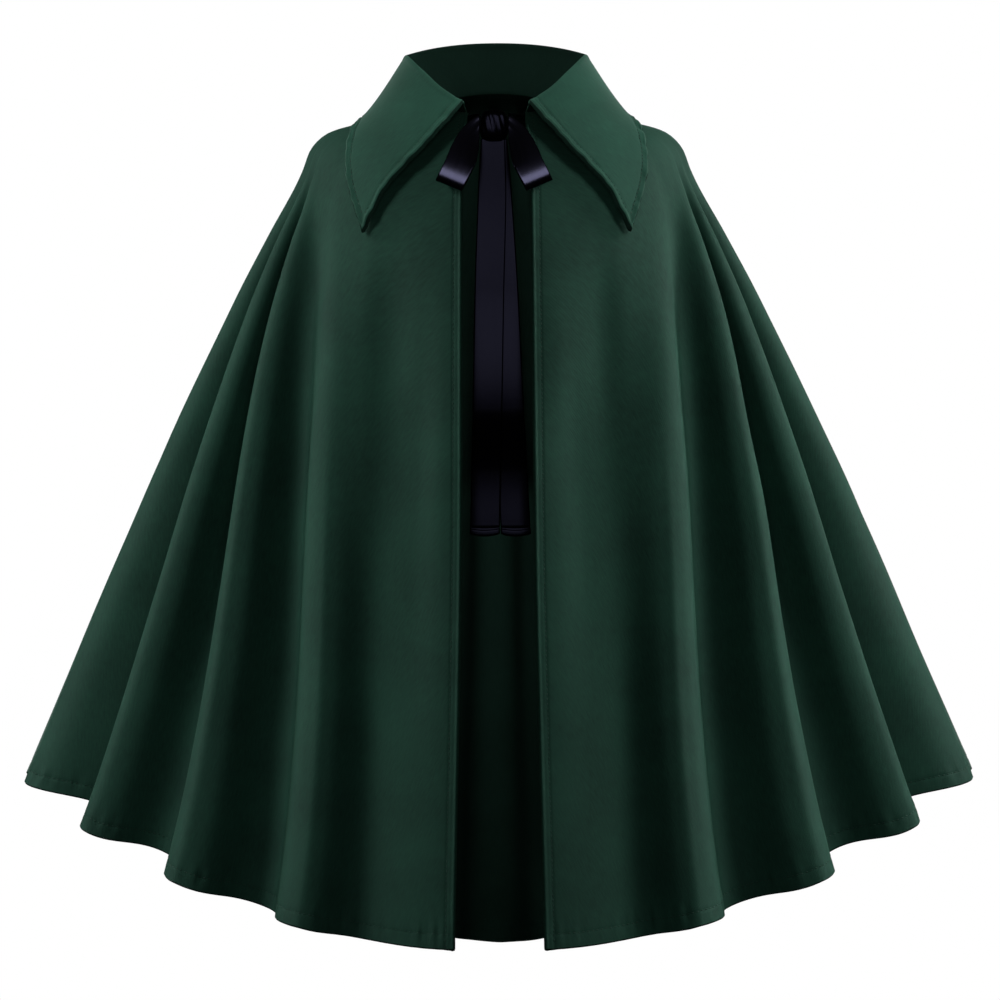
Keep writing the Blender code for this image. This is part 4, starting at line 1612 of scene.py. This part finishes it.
@dataclass
class Studio:
    """Pale floor, soft boxes and the camera."""

    floor_height: float = -1.25
    floor_size: float = 9.0
    backdrop_light: float = 1.0
    fill_light: float = 0.004
    lights: tuple[SoftBox, ...] = (
        SoftBox(
            "left_key", (-2.47, -1.10, 1.3), (0.0, 0.0, -0.50), (0.75, 1.0), 4.1, 44.0,
            ("front_panel_left", *RIBBON), paired=True,
        ),
        SoftBox(
            "left_side", (-2.66, 0.47, 1.3), (0.0, 0.0, -0.50), (0.75, 1.0), 3.4, 44.0,
            ("front_panel_left", *RIBBON), paired=True,
        ),
        SoftBox("top", (0.0, -0.6, 2.6), (0.0, 0.0, -0.2), (1.6, 1.0), 1.5, 180.0, ("back_panel", *RIBBON)),
        SoftBox(
            "front_fill", (0.0, -4.0, -0.2), (0.0, 0.0, -0.35), (1.5, 1.5), 22.0, 180.0,
            ("studio_floor", *RIBBON),
        ),
        SoftBox(
            "inside", (0.0, -3.2, -1.0), (0.0, 0.15, -0.22), (0.3, 0.3), 1.5, 24.0,
            ("front_panel", "collar", "studio_floor", *RIBBON),
        ),
        SoftBox(
            "floor_wash", (0.0, 0.0, 5.0), (0.0, 0.0, -1.0), (16.0, 16.0), 2400.0, 180.0,
            (*CLOTH, *RIBBON),
        ),
        SoftBox(
            "ribbon_front", (0.0, -3.6, 1.0), (0.0, 0.0, -0.3), (2.4, 1.6), 4.5, 180.0,
            (*CLOTH_AND_FLOOR, "bow_loop", "neck_tie"),
        ),
        SoftBox(
            "left_bow", (-0.36, -1.00, 1.66), (-0.03, -0.1, -0.1), (0.6, 0.6), 4.2, 180.0,
            (*CLOTH_AND_FLOOR, "ribbon", "neck_tie"), paired=True,
        ),
        SoftBox(
            "left_back", (-2.0, 2.4, 0.5), (0.0, 0.0, -0.35), (1.0, 2.0), 40.0, 180.0,
            ("front_panel", *RIBBON), paired=True,
        ),
    )
    camera_place: tuple[float, float, float] = (0.0018, -4.5, -0.55)
    camera_rise: float = 0.0444
    camera_roll_degrees: float = -0.25
    sensor_mm: float = 36.0
    focal_px: float = 5114.0
    picture_px: float = 1000.0

    def build(self, pieces: list[bpy.types.Object]) -> None:
        """Make the floor, the light and the camera.

        Args:
            pieces: what the lights shine on.
        """
        lit = [*pieces, self.floor()]
        self.daylight()
        for row in self.lights:
            for light in row.pair():
                self.soft_box(light, lit)
        self.camera()
        bpy.context.scene.view_settings.view_transform = "Standard"

    def floor(self) -> bpy.types.Object:
        """Make the floor, with black flags above it that keep its white off the cape.

        Returns:
            The floor.
        """
        paint = StudioPaint("matt_white_studio_paint", "#E9E8E4", "#F4F3F0").material()
        reach = self.floor_size / 2.0
        corners = np.array([(-reach, -reach), (reach, -reach), (reach, reach), (-reach, reach)])
        level = np.column_stack([corners, np.full(4, self.floor_height)])
        floor = quad_object("studio_floor", level, np.array([[0, 1, 2, 3]]), corners, (paint,))
        floor.visible_glossy = False
        floor.visible_diffuse = False
        return floor

    def daylight(self) -> None:
        """Make the white surroundings: bright to look at, and a weak fill on the cape."""
        world = bpy.data.worlds.new("white_studio")
        world.use_nodes = True
        tree = world.node_tree
        tree.nodes.clear()
        white = to_linear("#FFFFFF")
        fill, seen = (
            add_node(tree, "ShaderNodeBackground", {"Color": white, "Strength": strength}, {})
            for strength in (self.fill_light, self.backdrop_light)
        )
        path = add_node(tree, "ShaderNodeLightPath", {}, {})
        light = {1: fill.outputs["Background"], 2: seen.outputs["Background"]}
        mixed = add_node(tree, "ShaderNodeMixShader", {}, {"Fac": path.outputs["Is Camera Ray"], **light})
        add_node(tree, "ShaderNodeOutputWorld", {}, {"Surface": mixed.outputs["Shader"]})
        bpy.context.scene.world = world

    @staticmethod
    def soft_box(light: SoftBox, lit: list[bpy.types.Object]) -> None:
        """Hang one light.

        Args:
            light: its place, aim, size, power, beam and flags.
            lit: what it shines on, apart from the flagged pieces.
        """
        lamp = bpy.data.lights.new(light.name, "AREA")
        lamp.shape = "RECTANGLE"
        lamp.size, lamp.size_y = light.size
        lamp.energy = light.watts
        lamp.spread = math.radians(light.beam_degrees)
        thing = bpy.data.objects.new(light.name, lamp)
        thing.location = light.place
        thing.rotation_euler = (Vector(light.aim) - Vector(light.place)).to_track_quat("-Z", "Y").to_euler()
        thing.visible_camera = False
        bpy.context.scene.collection.objects.link(thing)
        shone_on = bpy.data.collections.new(f"lit_by_{light.name}")
        for piece in lit:
            if not piece.name.startswith(light.flagged):
                shone_on.objects.link(piece)
        thing.light_linking.receiver_collection = shone_on

    def camera(self) -> None:
        """Make the camera at the photograph's viewing angle."""
        data = bpy.data.cameras.new("camera")
        data.sensor_width = self.sensor_mm
        data.lens = self.sensor_mm * self.focal_px / self.picture_px
        thing = bpy.data.objects.new("camera", data)
        aim = Euler((TURN / 4.0 + math.atan(self.camera_rise), 0.0, 0.0)).to_matrix()
        roll = Matrix.Rotation(math.radians(self.camera_roll_degrees), 3, "Z")
        thing.location = self.camera_place
        thing.rotation_euler = (aim @ roll).to_euler()
        bpy.context.scene.collection.objects.link(thing)
        bpy.context.scene.camera = thing


FRONT_CREASES = (
    Crease(1.0, 0.0, 0.42, 1.35, 0.0012, 0.035),
    Crease(2.0, 0.0, 0.30, 1.30, 0.0018, 0.045),
    Crease(3.0, 0.0, 0.38, 1.40, 0.0016, 0.045),
    Crease(1.22, 0.0, 0.25, 1.30, 0.0040, 0.18),
    Crease(0.30, 0.05, 0.22, 0.75, -0.0012, 0.10),
    Crease(0.72, -0.06, 0.15, 0.55, 0.0012, 0.10),
    Crease(1.45, 0.10, 0.10, 0.45, -0.0016, 0.16),
    Crease(2.20, -0.05, 0.12, 0.60, 0.0012, 0.12),
    Crease(2.62, 0.08, 0.35, 0.95, -0.0014, 0.12),
    Crease(3.30, 0.06, 0.14, 0.50, -0.0014, 0.14),
    Crease(3.42, 0.0, 0.25, 1.50, -0.0090, 0.22),
)
BACK_CREASES = (
    Crease(5.30, 0.05, 0.14, 0.60, -0.0014, 0.14),
    Crease(6.70, -0.05, 0.20, 0.80, 0.0013, 0.12),
    Crease(8.20, 0.08, 0.12, 0.50, -0.0016, 0.15),
    Crease(9.55, -0.04, 0.30, 0.90, -0.0012, 0.12),
    Crease(10.75, 0.06, 0.12, 0.55, 0.0014, 0.14),
    Crease(12.30, -0.08, 0.25, 0.85, -0.0014, 0.12),
    Crease(13.80, 0.05, 0.12, 0.60, 0.0013, 0.13),
    Crease(14.90, -0.05, 0.20, 0.70, -0.0014, 0.14),
)


class Change(NamedTuple):
    """How much the creases change from side to side, and how fast that varies from one to the next."""

    amount: float
    rate: float


PLACE_CHANGE = Change(0.07, 3.0)
LENGTH_CHANGE = Change(0.05, 5.0)
HEIGHT_CHANGE = Change(0.25, 2.0)


def on_right(form: CapeForm, creases: tuple[Crease, ...]) -> tuple[Crease, ...]:
    """Carry the left front's creases over to the right front, each a little changed.

    Args:
        form: the form that the cape hangs in.
        creases: the left front's creases.

    Returns:
        The right front's creases.
    """
    return tuple(
        crease._replace(
            phase=form.last_phase - crease.phase - PLACE_CHANGE.amount * math.sin(PLACE_CHANGE.rate * place),
            drift=-crease.drift,
            bottom=crease.bottom + LENGTH_CHANGE.amount * math.cos(LENGTH_CHANGE.rate * place),
            height=crease.height * (1.0 + HEIGHT_CHANGE.amount * math.sin(HEIGHT_CHANGE.rate * place)),
        )
        for place, crease in enumerate(creases)
    )


def main() -> None:
    """Build the cape, its collar and its bow, then the studio."""
    logging.basicConfig(level=logging.INFO, format="%(name)s: %(message)s")
    form = CapeForm()
    # The wrong side is a darker, unglossy copy of the green: painted shade inside the cape and the collar,
    # and along the rims it is given to.
    wrong = Suiting("dark_green_suiting_wrong_side", "#0D1A15", "#12221C", sheen=0.0, specular=0.0).material()
    green = Sides(Suiting("dark_green_woven_suiting", "#18332A", "#204437").material(), wrong)
    # The collar is the same cloth given a lighter green: painted light, standing in for the light from above
    # that it catches.
    collar_green_painted_light = Sides(Suiting("dark_green_woven_collar_suiting", "#1B3A2F", "#234B3D").material(), wrong)
    thread = SpunThread("dark_green_spun_thread", "#163027", "#1C3E31").material()
    satin = Satin("black_woven_satin_ribbon", "#030304", "#070709").material()
    front_cut = Cut(neck_radius=0.087, hem_radius=0.822, degrees=49.3)
    back_cut = Cut(neck_radius=0.096, hem_radius=0.831, degrees=119.2)
    left_seam, right_seam, end = form.left_seam, form.right_seam, form.last_phase
    right_creases = on_right(form, FRONT_CREASES)
    panels = [
        CapePanel("front_panel_left", 0.0, left_seam, Side.LEFT, front_cut, FRONT_CREASES),
        CapePanel(
            "back_panel",
            left_seam,
            right_seam,
            None,
            back_cut,
            BACK_CREASES,
            columns_per_fold=40,
            row_step=0.0082,
        ),
        CapePanel("front_panel_right", right_seam, end, Side.RIGHT, front_cut, right_creases),
    ]
    pieces = [piece for panel in panels for piece in panel.build(form, green, thread)]
    pieces += Collar().build(form, collar_green_painted_light, thread)
    pieces += RibbonBow().build(form, satin)
    for piece in pieces:
        piece.data.calc_loop_triangles()
        LOG.info("%s, %d triangles", piece.name, len(piece.data.loop_triangles))
    Studio().build(pieces)


if __name__ == "__main__":
    main()
